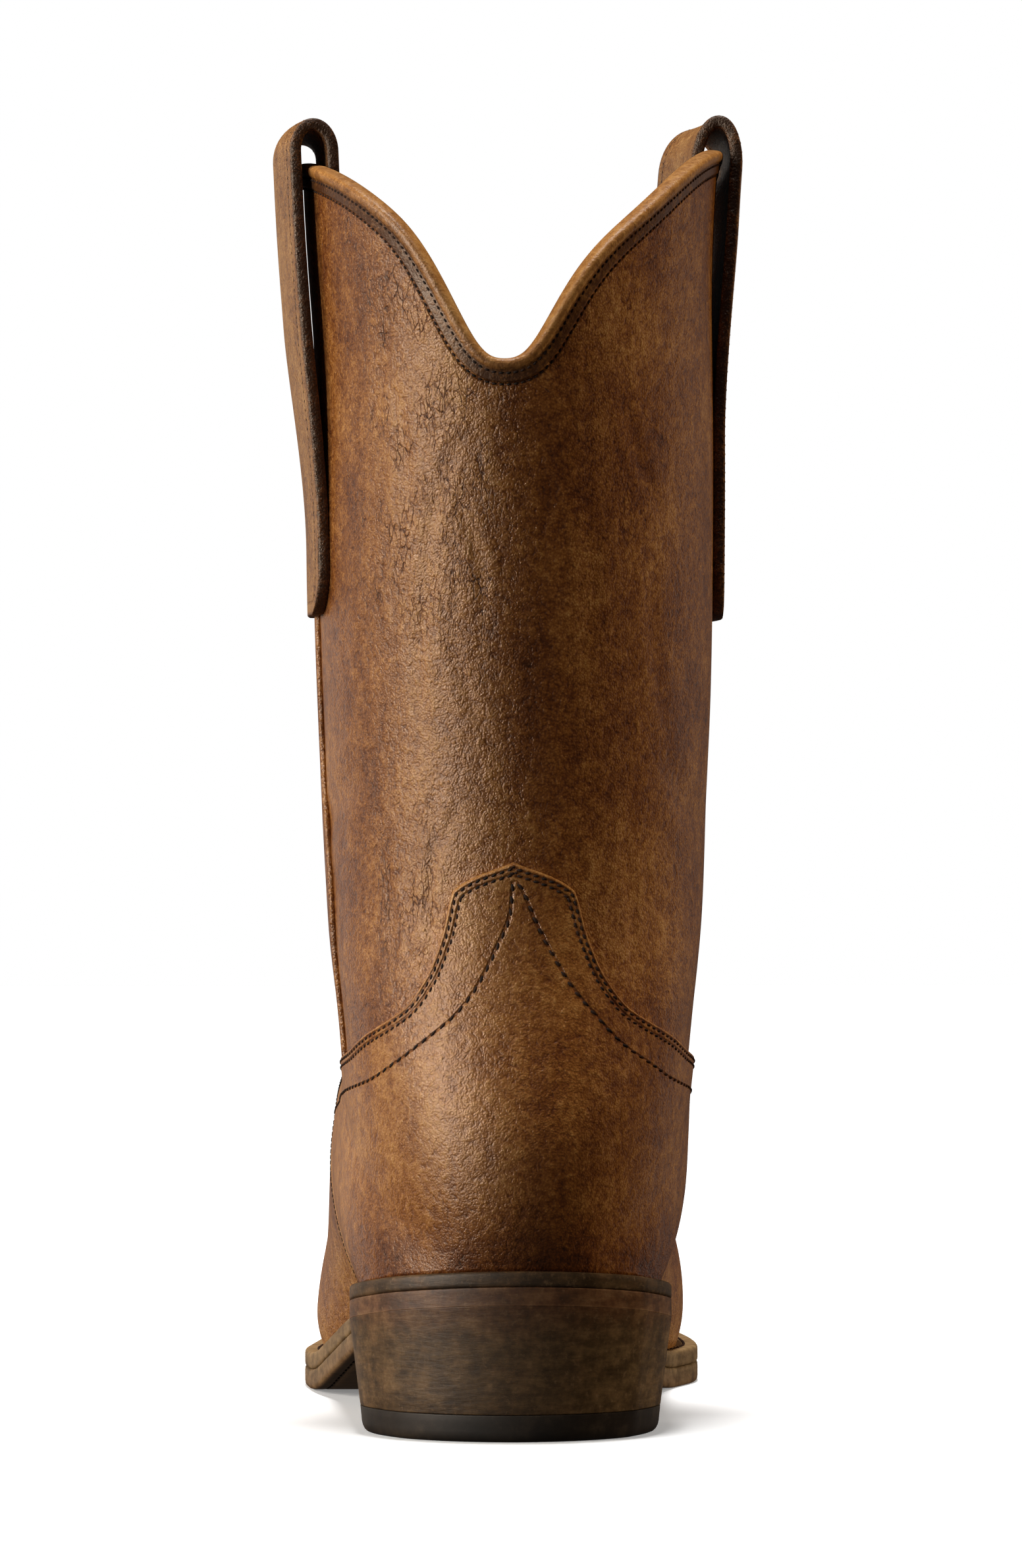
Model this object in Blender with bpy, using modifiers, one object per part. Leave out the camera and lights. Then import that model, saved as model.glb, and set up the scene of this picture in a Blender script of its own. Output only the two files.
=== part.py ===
"""A left western boot: hollow leather upper, vamp, counter, bound collar, pull straps, sole and heel.

Sizes are in millimetres. The working frame has y = 0 at the back of the heel edge, +Y to the toe, +X to the
inner side of the foot and z = 0 on the floor. An empty moves it under the middle of the boot.
"""

import math

import bmesh
import bpy
import numpy as np
from mathutils import Vector

MM = 0.001

# Whole boot: the middle of its bounding box in the working frame
LENGTH = 300.0
MIDDLE_X = 1.21
MIDDLE_Y = 148.33
GAP = 0.3

# Sole edge seen from above: y, middle of the width, half width
OUTLINE_COLUMNS = ("y", "middle", "half")
OUTLINE = (
    (0.0, 0.0, 0.0),
    (6.0, 0.0, 20.5),
    (16.0, 0.0, 31.0),
    (36.0, 0.0, 38.0),
    (60.0, 0.0, 36.0),
    (88.0, 0.2, 32.0),
    (113.0, 0.4, 36.0),
    (140.0, 0.6, 41.2),
    (165.0, 2.0, 46.2),
    (190.0, 5.8, 50.6),
    (215.0, 8.0, 49.2),
    (240.0, 9.4, 44.2),
    (265.0, 10.0, 35.0),
    (285.0, 10.0, 22.6),
    (295.0, 10.0, 13.2),
    (300.0, 10.0, 0.0),
)

# Underside of the outsole: straight heel seat, shank, flat tread, toe spring
SEAT_BACK_Z = 31.9
SEAT_SLOPE = 0.145
SEAT_END_Y = 62.0
SHANK_COLUMNS = ("y", "z")
SHANK = ((87.0, 19.2), (113.0, 13.2), (140.0, 5.4), (157.0, 1.1), (168.0, 0.0))
TREAD_END_Y = 212.0
TOE_SPRING = 9.0
TOE_SPRING_POWER = 1.9

# Sole layers: thickness at the heel and at the forefoot
OUTSOLE_HEEL = 4.3
OUTSOLE_TREAD = 5.1
WELT_HEEL = 3.4
WELT_TREAD = 4.1
LAYER_BLEND = (62.0, 130.0)
WELT_WIDE = 13.0
WELT_SHARE = 0.3
INSOLE_THICK = 3.0
INSOLE_INSET = 4.0
INSOLE_SHARE = 0.88

# Heel block: plan at the seat follows the sole edge, plan at the floor is smaller
HEEL_BREAST_Y = 62.0
HEEL_SEAT_INSET = 0.5
HEEL_FLOOR_INSET = 3.2
HEEL_BACK_RAKE = 4.0
HEEL_HALF_WIDE = 38.0
CAP_TOP = 6.3
CAP_RING_COLUMNS = ("drawn", "z")
CAP_RINGS = ((1.8, 0.0), (0.5, 0.6), (0.0, 1.8), (0.0, CAP_TOP))

# Upper: wall, feather line and the sections of the surface
WALL = 2.3
FEATHER_BACK_Y = 4.0
FEATHER_TIP_Y = 293.0
FEATHER_SHARE_HEEL = 0.89
FEATHER_SHARE_TREAD = 0.86
SHAFT_CREST = 0.96
OPENING_MARGIN = 1.015

FOOT_COLUMNS = ("base_y", "ridge_y", "ridge_z", "half", "belly", "crest", "ridge_x")
FOOT = (
    (293.0, 293.6, 27.0, 0.0, 0.36, 0.86, 10.0),
    (286.0, 288.4, 39.0, 14.6, 0.34, 0.86, 10.0),
    (270.0, 273.0, 49.0, 26.6, 0.30, 0.86, 9.8),
    (245.0, 248.5, 57.0, 36.6, 0.24, 0.89, 9.2),
    (215.0, 219.0, 64.5, 43.2, 0.18, 0.94, 8.8),
    (190.0, 196.0, 72.5, 45.0, 0.15, 0.98, 8.4),
    (165.0, 175.0, 83.0, 43.9, 0.16, 1.02, 7.8),
    (140.0, 157.0, 95.0, 41.6, 0.24, 1.05, 6.6),
    (115.0, 144.0, 107.0, 41.2, 0.32, 1.06, 5.6),
    (90.0, 135.5, 118.0, 41.3, 0.35, 1.05, 5.2),
    (65.0, 130.2, 127.5, 41.2, 0.34, 1.03, 5.3),
    (40.0, 127.2, 133.5, 40.8, 0.30, 1.0, 5.5),
    (18.0, 125.8, 137.2, 40.3, 0.37, 0.98, 5.7),
    (4.0, 125.2, 140.5, 40.5, 0.47, 0.97, 5.9),
)
SHAFT_COLUMNS = ("back_y", "back_z", "front_y", "front_z", "half", "back_x", "front_x")
SHAFT = (
    (-2.0, 63.0, 125.0, 146.0, 42.2, 0.0, 6.0),
    (1.2, 89.0, 125.3, 152.8, 44.2, -0.3, 6.3),
    (7.2, 114.0, 126.0, 159.2, 45.3, -0.6, 6.6),
    (9.3, 140.0, 127.0, 166.0, 45.9, -0.9, 7.1),
    (9.0, 170.0, 129.0, 176.0, 46.8, -1.4, 7.8),
    (7.0, 206.0, 133.4, 206.0, 47.6, -2.2, 8.4),
    (4.6, 246.0, 139.0, 246.0, 47.9, -3.0, 9.0),
    (2.4, 280.0, 143.4, 280.0, 49.0, -4.2, 8.0),
    (0.4, 316.0, 147.6, 316.0, 51.0, -4.2, 8.5),
)
SHAFT_BELLY = 0.5
CLOSED_FROM_ROW = (7.0, 9.5)

# Collar: scallop peaks at the sides, dips at the back and the front
PEAK_LATERAL_Z = 301.5
PEAK_MEDIAL_Z = 304.0
DIP_BACK_Z = 248.0
DIP_FRONT_Z = 254.0
DIP_WIDTH = math.radians(26.2)
SCALLOP_FROM_Z = 178.0
BINDING_DEPTH = 4.2
BINDING_THICK = 1.0
BINDING_GAP = 0.5

# Vamp: foot station of its rear edge by share of the way from feather to ridge
OVERLAY = 1.1
OVERLAY_GAP = 0.45
OVERLAY_LIFT = 1.2
VAMP_EDGE_COLUMNS = ("share", "station_y")
VAMP_EDGE = ((0.0, 58.0), (0.25, 70.0), (0.5, 84.0), (0.75, 97.0), (0.9, 104.0), (1.0, 101.0))

# Counter: height of its top edge by turn round the heel from the back, in degrees
COUNTER_SPREAD = 70.0
COUNTER_TOP_COLUMNS = ("turn", "z")
COUNTER_TOP = (
    (0.0, 134.2),
    (16.0, 127.6),
    (19.2, 117.0),
    (23.6, 107.5),
    (31.0, 100.0),
    (48.5, 93.6),
    (61.0, 90.0),
    (80.0, 87.5),
    (97.0, 85.0),
    (112.0, 80.0),
    (130.0, 69.0),
)
COUNTER_FRONT_GAP = 1.6
COUNTER_CROWD = 0.5

# Side seams: they swing back below the straps
SEAM_HALF_WIDE = 2.5
SEAM_PROUD = 0.8
SEAM_Z = (92.5, 189.0)
SEAM_SWING_Z = (118.0, 165.0)
SEAM_LATERAL_Y = (51.0, 62.0)
SEAM_MEDIAL_Y = (78.0, 87.0)

# Pull straps: sewn flat low down, free at the collar, folded over to the inside
STRAP_HALF_WIDE = 18.0
STRAP_THICK = 2.1
STRAP_OUTER_Z = 193.0
STRAP_INNER_Z = 244.0
STRAP_FOLD_Z = 303.0
STRAP_SHARES = (0.58, 0.72)
STRAP_COLUMNS = (
    "middle_y", "top_z", "near_stand", "far_stand", "inner_stand", "free_from_z", "free_to_z")
STRAP_LATERAL = (62.0, 310.8, 4.8, 6.8, 5.7, 210.0, 283.0)
STRAP_MEDIAL = (87.0, 314.8, 4.7, 4.7, 6.1, 240.0, 303.0)

# Mesh steps
WELD = 0.01
UPPER_STEPS = (34, 36)
UPPER_HEEL_STEP = 20
UPPER_CROWD = 0.45
VAMP_STEPS = (16, 36)
VAMP_CROWD = 1.3
COUNTER_STEPS = (34, 6)
SEAM_STEPS = (2, 12)
STRAP_STEPS = (4, 24)
BINDING_CORNERS = 10
SOLE_STEPS = 30
WELT_STEPS = 52
HEEL_STEPS = 32
STACK_STEPS = 3

# Search and slope steps
HALVINGS = 36
SETTLING = 20
SAMPLES = 400
SLOPE_STEP = 1e-3
SEAM_LIMIT = 0.02
TIP_LIMIT = 0.05
TINY = 1e-6


def spline(at, knots, values):
    """Natural cubic spline: piecewise cubics through the knots with a continuous second derivative."""
    knots = np.asarray(knots, float)
    values = np.asarray(values, float)
    step = np.diff(knots)
    rise = np.diff(values) / step
    size = len(knots)
    system = np.eye(size)
    right = np.zeros(size)
    for i in range(1, size - 1):
        system[i, i - 1:i + 2] = step[i - 1], 2.0 * (step[i - 1] + step[i]), step[i]
        right[i] = 6.0 * (rise[i] - rise[i - 1])
    bend = np.linalg.solve(system, right)
    at = np.clip(at, knots[0], knots[-1])
    i = np.clip(np.searchsorted(knots, at, side="right") - 1, 0, size - 2)
    a = (knots[i + 1] - at) / step[i]
    b = (at - knots[i]) / step[i]
    curve = ((a ** 3 - a) * bend[i] + (b ** 3 - b) * bend[i + 1]) * step[i] ** 2 / 6.0
    return a * values[i] + b * values[i + 1] + curve


def monotone(at, knots, values):
    """Cubic Hermite through the knots with slopes limited so that it never overshoots them."""
    knots = np.asarray(knots, float)
    values = np.asarray(values, float)
    step = np.diff(knots)
    rise = np.diff(values) / step
    turn = rise[1:] * rise[:-1]
    safe = np.where(turn > 0.0, rise[1:] + rise[:-1], 1.0)
    slope = np.concatenate(([rise[0]], np.where(turn > 0.0, 2.0 * turn / safe, 0.0), [rise[-1]]))
    at = np.clip(at, knots[0], knots[-1])
    i = np.clip(np.searchsorted(knots, at, side="right") - 1, 0, len(knots) - 2)
    b = (at - knots[i]) / step[i]
    start = values[i] + step[i] * slope[i] * b * (1.0 - b) ** 2
    lift = (values[i + 1] - values[i]) * b * b * (3.0 - 2.0 * b)
    return start + lift - step[i] * slope[i + 1] * b * b * (1.0 - b)


def ease(at, low, high):
    """Smooth step from 0 at low to 1 at high."""
    b = np.clip((np.asarray(at, float) - low) / (high - low), 0.0, 1.0)
    return b * b * (3.0 - 2.0 * b)


def column(table, names, name):
    return np.array([row[names.index(name)] for row in table])


def outline_half(y):
    """Half width of the sole edge; its square is interpolated, so both ends come out round."""
    knots = column(OUTLINE, OUTLINE_COLUMNS, "y")
    half = column(OUTLINE, OUTLINE_COLUMNS, "half")
    return np.sqrt(np.maximum(monotone(y, knots, half ** 2), 0.0))


def outline_middle(y):
    return spline(y, column(OUTLINE, OUTLINE_COLUMNS, "y"), column(OUTLINE, OUTLINE_COLUMNS, "middle"))


def outsole_bottom(y):
    """Underside: the straight seat, then the shank down to the flat tread, then the toe spring."""
    y = np.asarray(y, float)
    seat = SEAT_BACK_Z - SEAT_SLOPE * y
    knots = np.concatenate(([0.0, SEAT_END_Y], column(SHANK, SHANK_COLUMNS, "y")))
    heights = np.concatenate((
        [SEAT_BACK_Z, SEAT_BACK_Z - SEAT_SLOPE * SEAT_END_Y], column(SHANK, SHANK_COLUMNS, "z")))
    shank = monotone(y, knots, heights)
    rise = np.clip((y - TREAD_END_Y) / (LENGTH - TREAD_END_Y), 0.0, 1.0)
    return np.where(y < SEAT_END_Y, seat, shank) + TOE_SPRING * rise ** TOE_SPRING_POWER


def outsole_top(y):
    return outsole_bottom(y) + OUTSOLE_HEEL + (OUTSOLE_TREAD - OUTSOLE_HEEL) * ease(y, *LAYER_BLEND)


def welt_top(y):
    return outsole_top(y) + GAP + WELT_HEEL + (WELT_TREAD - WELT_HEEL) * ease(y, *LAYER_BLEND)


def feather_z(y):
    return welt_top(y) + GAP


def feather_half(y):
    """Half width of the upper where it stands on the welt."""
    y = np.asarray(y, float)
    stretched = (y - FEATHER_BACK_Y) / (FEATHER_TIP_Y - FEATHER_BACK_Y) * LENGTH
    share = FEATHER_SHARE_HEEL + (FEATHER_SHARE_TREAD - FEATHER_SHARE_HEEL) * ease(y, *LAYER_BLEND)
    return outline_half(stretched) * share


def section_rows():
    """The two section tables as one set of columns, one row to each whole t from toe tip to collar."""
    foot = {name: column(FOOT, FOOT_COLUMNS, name) for name in FOOT_COLUMNS}
    shaft = {name: column(SHAFT, SHAFT_COLUMNS, name) for name in SHAFT_COLUMNS}
    opening = np.minimum(feather_half(foot["base_y"]), foot["half"] / OPENING_MARGIN)
    slant = np.sqrt(1.0 - (opening / np.maximum(foot["half"], 1.0)) ** 2)
    reach = foot["belly"] / slant
    first = int(CLOSED_FROM_ROW[0])
    reach[:first] = reach[first]
    closed = np.full(len(SHAFT), SHAFT_BELLY)
    return {
        "base_y": np.concatenate((foot["base_y"], shaft["back_y"])),
        "base_z": np.concatenate((feather_z(foot["base_y"]), shaft["back_z"])),
        "base_x": np.concatenate((outline_middle(foot["base_y"]), shaft["back_x"])),
        "ridge_y": np.concatenate((foot["ridge_y"], shaft["front_y"])),
        "ridge_z": np.concatenate((foot["ridge_z"], shaft["front_z"])),
        "ridge_x": np.concatenate((foot["ridge_x"], shaft["front_x"])),
        "half": np.concatenate((foot["half"], shaft["half"])),
        "belly": np.concatenate((foot["belly"], closed)),
        "reach": np.concatenate((reach, closed)),
        "crest": np.concatenate((foot["crest"], np.full(len(SHAFT), SHAFT_CREST))),
    }


ROWS = section_rows()
HEEL_ROW = len(FOOT) - 1.0
LAST_ROW = len(FOOT) + len(SHAFT) - 1.0


def row_value(name, t):
    knots = np.arange(len(ROWS[name]), dtype=float)
    if name == "half":
        return np.sqrt(np.maximum(spline(t, knots, ROWS[name] ** 2), 0.0))
    return spline(t, knots, ROWS[name])


def section_line(t):
    """Base and ridge points of a section in the side view, as y and z."""
    base_y = row_value("base_y", t)
    base_z = np.where(t < HEEL_ROW, feather_z(base_y), row_value("base_z", t))
    return base_y, base_z, row_value("ridge_y", t), row_value("ridge_z", t)


def section_form(t):
    """Half width, start angle at the sole opening and height share of the widest point of a section."""
    base_y = np.maximum(row_value("base_y", t), FEATHER_BACK_Y)
    opening = np.where(t < HEEL_ROW, feather_half(base_y), 0.0)
    half = np.maximum(row_value("half", t), opening * OPENING_MARGIN + TINY)
    start = np.arcsin(opening / half)
    closed = ease(t, *CLOSED_FROM_ROW)
    belly = row_value("belly", t) * (1.0 - closed) + row_value("reach", t) * np.cos(start) * closed
    return half, start, belly


def tube(t, angle):
    """Point of the upper's outer face before the collar is cut.

    t picks a section, a plane through a base point and a ridge point of the side view. The angle runs from
    -pi on the lateral base over 0 on the ridge to +pi on the medial base. Across the section the half width
    follows the sine of the turn from the base, raised to the crest power above the widest point, and it
    starts where the sole opening cuts it.
    """
    t = np.asarray(t, float)
    angle = np.asarray(angle, float)
    base_y, base_z, ridge_y, ridge_z = section_line(t)
    half, start, belly = section_form(t)
    turn = start + (math.pi - start) * (1.0 - np.abs(angle) / math.pi)
    sine = np.clip(np.sin(turn), 0.0, 1.0)
    above = turn > math.pi / 2.0
    wide = half * np.where(above, sine ** row_value("crest", t), sine)
    low = belly * (1.0 - np.cos(turn) / np.cos(start))
    high = belly - (1.0 - belly) * np.cos(turn)
    along = np.where(above, high, low)
    base_x = np.where(t < HEEL_ROW, outline_middle(base_y), row_value("base_x", t))
    middle = base_x + (row_value("ridge_x", t) - base_x) * along
    y = base_y + (ridge_y - base_y) * along
    z = base_z + (ridge_z - base_z) * along
    return np.stack((middle + np.sign(angle) * wide, y, z), axis=-1)


def locate(y, z):
    """Section t and size of the angle of the tube point at y, z of the side view, by halving on t."""
    low = np.zeros(np.shape(y))
    high = np.full(np.shape(y), LAST_ROW)
    for _ in range(HALVINGS):
        t = 0.5 * (low + high)
        base_y, base_z, ridge_y, ridge_z = section_line(t)
        ahead = (ridge_y - base_y) * (z - base_z) > (ridge_z - base_z) * (y - base_y)
        low = np.where(ahead, t, low)
        high = np.where(ahead, high, t)
    run_y, run_z = ridge_y - base_y, ridge_z - base_z
    along = ((y - base_y) * run_y + (z - base_z) * run_z) / (run_y ** 2 + run_z ** 2)
    along = np.clip(along, 0.0, 1.0)
    half, start, belly = section_form(t)
    low_cosine = (1.0 - along / belly) * np.cos(start)
    high_cosine = (belly - along) / (1.0 - belly)
    turn = np.arccos(np.clip(np.where(along < belly, low_cosine, high_cosine), -1.0, 1.0))
    return t, math.pi * np.clip((math.pi - turn) / (math.pi - start), 0.0, 1.0)


def collar_z(angle):
    """Height of the collar edge: a peak at each side, falling to the back and front dips in a bell curve."""
    peak = np.where(angle < 0.0, PEAK_LATERAL_Z, PEAK_MEDIAL_Z)
    rest = 1.0 / (1.0 + (math.pi / 2.0 / DIP_WIDTH) ** 2)
    back = 1.0 / (1.0 + ((math.pi - np.abs(angle)) / DIP_WIDTH) ** 2)
    front = 1.0 / (1.0 + (np.abs(angle) / DIP_WIDTH) ** 2)
    back = np.clip((back - rest) / (1.0 - rest), 0.0, 1.0)
    front = np.clip((front - rest) / (1.0 - rest), 0.0, 1.0)
    return peak - (peak - DIP_BACK_Z) * back - (peak - DIP_FRONT_Z) * front


def row_at_height(angle, z):
    """Section t at which the line of the given angle passes height z on the shaft, by halving."""
    low = np.full(np.shape(angle), HEEL_ROW)
    high = np.full(np.shape(angle), LAST_ROW)
    for _ in range(HALVINGS):
        t = 0.5 * (low + high)
        under = tube(t, angle)[..., 2] < z
        low = np.where(under, t, low)
        high = np.where(under, high, t)
    return t


def slope_normal(t, angle):
    """Outward unit normal of the tube by central differences."""
    along = tube(t + SLOPE_STEP, angle) - tube(t - SLOPE_STEP, angle)
    across = tube(t, angle + SLOPE_STEP) - tube(t, angle - SLOPE_STEP)
    normal = np.cross(along, across)
    return normal / np.linalg.norm(normal, axis=-1, keepdims=True)


def tube_normal(t, angle):
    """Outward unit normal of the tube; the mean of both sides where they meet at toe tip and back seam."""
    limit = math.pi - SEAM_LIMIT
    near_t = np.clip(t, TIP_LIMIT, LAST_ROW - SLOPE_STEP)
    near_angle = np.clip(angle, -limit, limit)
    normal = slope_normal(near_t, near_angle)
    meeting = (t < SLOPE_STEP) | ((np.abs(angle) > limit) & (t >= HEEL_ROW))
    normal = normal + np.where(meeting[..., None], slope_normal(near_t, -near_angle), 0.0)
    return normal / np.linalg.norm(normal, axis=-1, keepdims=True)


def tube_off(t, angle, distance):
    """Point at a distance outside the tube."""
    return tube(t, angle) + tube_normal(t, angle) * np.asarray(distance)[..., None]


def back_y(z):
    """Back line of the upper at a height, and the back of the feather line below it."""
    t = np.linspace(HEEL_ROW, LAST_ROW, SAMPLES)
    return np.interp(z, row_value("base_z", t), row_value("base_y", t))


def new_material(name, colour, roughness):
    material = bpy.data.materials.new(name)
    material.use_nodes = True
    shader = material.node_tree.nodes["Principled BSDF"]
    shader.inputs["Base Color"].default_value = (*colour, 1.0)
    shader.inputs["Roughness"].default_value = roughness
    shader.inputs["Metallic"].default_value = 0.0
    return material


def grid_object(name, surface, steps, material, close_ends=False):
    """A grid of two parameters from 0 to 1, moved onto a surface, with the points that meet welded."""
    mesh = bpy.data.meshes.new(name)
    shape = bmesh.new()
    bmesh.ops.create_grid(shape, x_segments=steps[0], y_segments=steps[1], size=0.5)
    flat = np.array([vertex.co[:] for vertex in shape.verts])
    points = surface(flat[:, 0] + 0.5, flat[:, 1] + 0.5)
    for vertex, point in zip(shape.verts, points * MM):
        vertex.co = Vector(point)
    bmesh.ops.remove_doubles(shape, verts=shape.verts, dist=WELD * MM)
    bmesh.ops.dissolve_degenerate(shape, edges=shape.edges, dist=WELD * MM)
    if close_ends:
        edges = [edge for edge in shape.edges if edge.is_boundary]
        bmesh.ops.holes_fill(shape, edges=edges, sides=0)
    if not [edge for edge in shape.edges if edge.is_boundary]:
        bmesh.ops.recalc_face_normals(shape, faces=shape.faces)
    shape.to_mesh(mesh)
    shape.free()
    for polygon in mesh.polygons:
        polygon.use_smooth = True
    mesh.materials.append(material)
    thing = bpy.data.objects.new(name, mesh)
    thing.parent = middle
    boot.objects.link(thing)
    return thing


def thicken(thing, thickness, offset):
    """A wall from an open sheet: offset -1 puts it behind the sheet, 1 in front, 0 half on each side."""
    wall = thing.modifiers.new("Wall", "SOLIDIFY")
    wall.thickness = thickness * MM
    wall.offset = offset
    wall.use_even_offset = True
    wall.use_rim = True
    return thing


def corner_of(share, corners):
    """Corner of a closed section loop for a share from 0 to 1 round it; the last one meets the first."""
    picked = np.array(corners)[np.rint(share * len(corners)).astype(int) % len(corners)]
    return picked[..., 0], picked[..., 1]


for thing in list(bpy.data.objects):
    bpy.data.objects.remove(thing, do_unlink=True)
boot = bpy.data.collections.new("western_boot")
bpy.context.scene.collection.children.link(boot)
middle = bpy.data.objects.new("boot_middle", None)
middle.location = (-MIDDLE_X * MM, -MIDDLE_Y * MM, 0.0)
boot.objects.link(middle)

shaft_leather = new_material("brown_leather", (0.17, 0.075, 0.03), 0.5)
vamp_leather = new_material("vamp_leather", (0.15, 0.07, 0.03), 0.5)
counter_leather = new_material("counter_leather", (0.18, 0.08, 0.03), 0.45)
seam_leather = new_material("seam_leather", (0.16, 0.07, 0.03), 0.55)
binding_leather = new_material("binding_leather", (0.28, 0.13, 0.05), 0.5)
strap_leather = new_material("strap_leather", (0.2, 0.09, 0.04), 0.6)
insole_leather = new_material("insole_leather", (0.42, 0.27, 0.15), 0.7)
welt_leather = new_material("welt_leather", (0.16, 0.12, 0.09), 0.6)
outsole_leather = new_material("outsole_leather", (0.2, 0.08, 0.05), 0.6)
stack_leather = new_material("stack_leather", (0.12, 0.07, 0.05), 0.5)
cap_rubber = new_material("cap_rubber", (0.03, 0.022, 0.02), 0.6)

# Upper: shaft and foot in one wall


def shaft_angle(share):
    """Angle for a share of the way round, with the lines crowded at the front and back dips."""
    turn = 2.0 * share - 1.0
    return math.pi * turn - UPPER_CROWD * np.sin(2.0 * math.pi * turn) / 2.0


def section_spread(share):
    """Section for a share of the length: close together at the toe tip and at the back of the heel seat."""
    heel = UPPER_HEEL_STEP / UPPER_STEPS[0]
    foot = np.clip(share / heel, 0.0, 1.0)
    crowded = 0.5 - 0.5 * np.cos(math.pi * foot)
    shaft = np.clip((share - heel) / (1.0 - heel), 0.0, 1.0)
    return (UPPER_CROWD * crowded + (1.0 - UPPER_CROWD) * foot) * HEEL_ROW + shaft * (LAST_ROW - HEEL_ROW)


def upper_face(u, v):
    """The tube, with the sections above the scallop's start squeezed so that the last is the collar edge."""
    angle = shaft_angle(v)
    t = section_spread(u)
    start = row_at_height(angle, SCALLOP_FROM_Z)
    end = row_at_height(angle, collar_z(angle))
    squeezed = start + (t - start) * (end - start) / (LAST_ROW - start)
    return tube(np.where(t > start, squeezed, t), angle)


thicken(grid_object("upper", upper_face, UPPER_STEPS, shaft_leather), WALL, -1.0)

# Vamp: from the toe tip back to its sewn edge


def vamp_edge(angle):
    """Section of the vamp's rear edge on the line of an angle."""
    share = 1.0 - np.abs(angle) / math.pi
    knots = column(VAMP_EDGE, VAMP_EDGE_COLUMNS, "share")
    station = monotone(share, knots, column(VAMP_EDGE, VAMP_EDGE_COLUMNS, "station_y"))
    t = np.linspace(0.0, HEEL_ROW, SAMPLES)
    return np.interp(-station, -row_value("base_y", t), t)


def lifted(t):
    """Share of the angle that keeps an overlay's lower edge a little above the welt."""
    base_y, base_z, ridge_y, ridge_z = section_line(t)
    half, start, belly = section_form(t)
    rise = OVERLAY_LIFT / (np.hypot(ridge_y - base_y, ridge_z - base_z) * belly)
    turn = np.arccos((1.0 - rise) * np.cos(start))
    return (math.pi - turn) / (math.pi - start)


def vamp_face(u, v):
    angle = shaft_angle(v)
    t = u ** VAMP_CROWD * vamp_edge(angle)
    return tube_off(t, angle * lifted(t), np.full(np.shape(u), OVERLAY_GAP))


thicken(grid_object("vamp", vamp_face, VAMP_STEPS, vamp_leather), OVERLAY, 1.0)

# Counter: round the heel from the vamp's edge on one side to the vamp's edge on the other


def counter_place(turn, share):
    """Side view place of a counter point: the turn goes round the heel, the share up to the top edge."""
    low_y = FEATHER_BACK_Y + COUNTER_SPREAD * (1.0 - np.cos(turn))
    low_z = feather_z(low_y) + OVERLAY_LIFT
    knots = column(COUNTER_TOP, COUNTER_TOP_COLUMNS, "turn")
    top = monotone(np.degrees(turn), knots, column(COUNTER_TOP, COUNTER_TOP_COLUMNS, "z"))
    z = low_z + (top - low_z) * share
    return back_y(z) + COUNTER_SPREAD * (1.0 - np.cos(turn)), z


def counter_front(share):
    """Turn at which a counter row meets the vamp's rear edge."""
    angle = np.linspace(-math.pi, 0.0, SAMPLES)
    edge = tube(vamp_edge(angle), angle)
    turn = np.full(np.shape(share), math.pi / 2.0)
    for _ in range(SETTLING):
        z = counter_place(turn, share)[1]
        room = np.interp(z, edge[:, 2], edge[:, 1]) - COUNTER_FRONT_GAP - back_y(z)
        turn = 0.5 * turn + 0.5 * np.arccos(np.clip(1.0 - room / COUNTER_SPREAD, -1.0, 1.0))
    return turn


def counter_face(u, v):
    side = 2.0 * u - 1.0
    spread = COUNTER_CROWD * side + (1.0 - COUNTER_CROWD) * side ** 3
    y, z = counter_place(np.abs(spread) * counter_front(v), v)
    t, angle = locate(y, z)
    return tube_off(t, np.where(side < 0.0, -angle, angle), np.full(np.shape(u), OVERLAY_GAP))


thicken(grid_object("counter", counter_face, COUNTER_STEPS, counter_leather), OVERLAY, 1.0)

# Side seams: a narrow raised strip on each side


def side_seam(name, side, swing):
    def face(u, v):
        z = SEAM_Z[0] + (SEAM_Z[1] - SEAM_Z[0]) * v
        y = swing[0] + (swing[1] - swing[0]) * ease(z, *SEAM_SWING_Z)
        t, angle = locate(y - side * SEAM_HALF_WIDE * (1.0 - 2.0 * u), z)
        return tube_off(t, side * angle, np.full(np.shape(u), OVERLAY_GAP))

    thicken(grid_object(name, face, SEAM_STEPS, seam_leather), SEAM_PROUD, 1.0)


side_seam("side_seam_lateral", -1.0, SEAM_LATERAL_Y)
side_seam("side_seam_medial", 1.0, SEAM_MEDIAL_Y)

# Topline binding: a folded strip over the collar edge


def collar_point(angle):
    return tube(row_at_height(angle, collar_z(angle)), angle)


def binding_face(u, v):
    """A U shaped section carried round the collar: one axis off the leather, the other up over the edge."""
    angle = shaft_angle(u)
    near = np.clip(angle, SLOPE_STEP - math.pi, math.pi - SLOPE_STEP)
    edge = collar_point(angle)
    run = collar_point(near + SLOPE_STEP) - collar_point(near - SLOPE_STEP)
    seam = np.abs(angle) > math.pi - SLOPE_STEP
    run[:, 1:] = np.where(seam[:, None], 0.0, run[:, 1:])
    off = tube_normal(row_at_height(angle, collar_z(angle)), angle)
    up = np.cross(run, off)
    up *= np.sign(up[:, 2:3]) / np.linalg.norm(up, axis=-1, keepdims=True)
    outside = BINDING_GAP + BINDING_THICK
    inside = -WALL - outside
    depth = -BINDING_DEPTH
    corners = (
        (BINDING_GAP, depth),
        (outside, depth),
        (outside, 0.0),
        (outside - BINDING_THICK / 2.0, outside),
        (inside + BINDING_THICK / 2.0, outside),
        (inside, 0.0),
        (inside, depth),
        (-WALL - BINDING_GAP, depth),
        (-WALL - BINDING_GAP, BINDING_GAP),
        (BINDING_GAP, BINDING_GAP),
    )
    away, across = corner_of(v, corners)
    return edge + off * away[:, None] + up * across[:, None]


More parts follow.
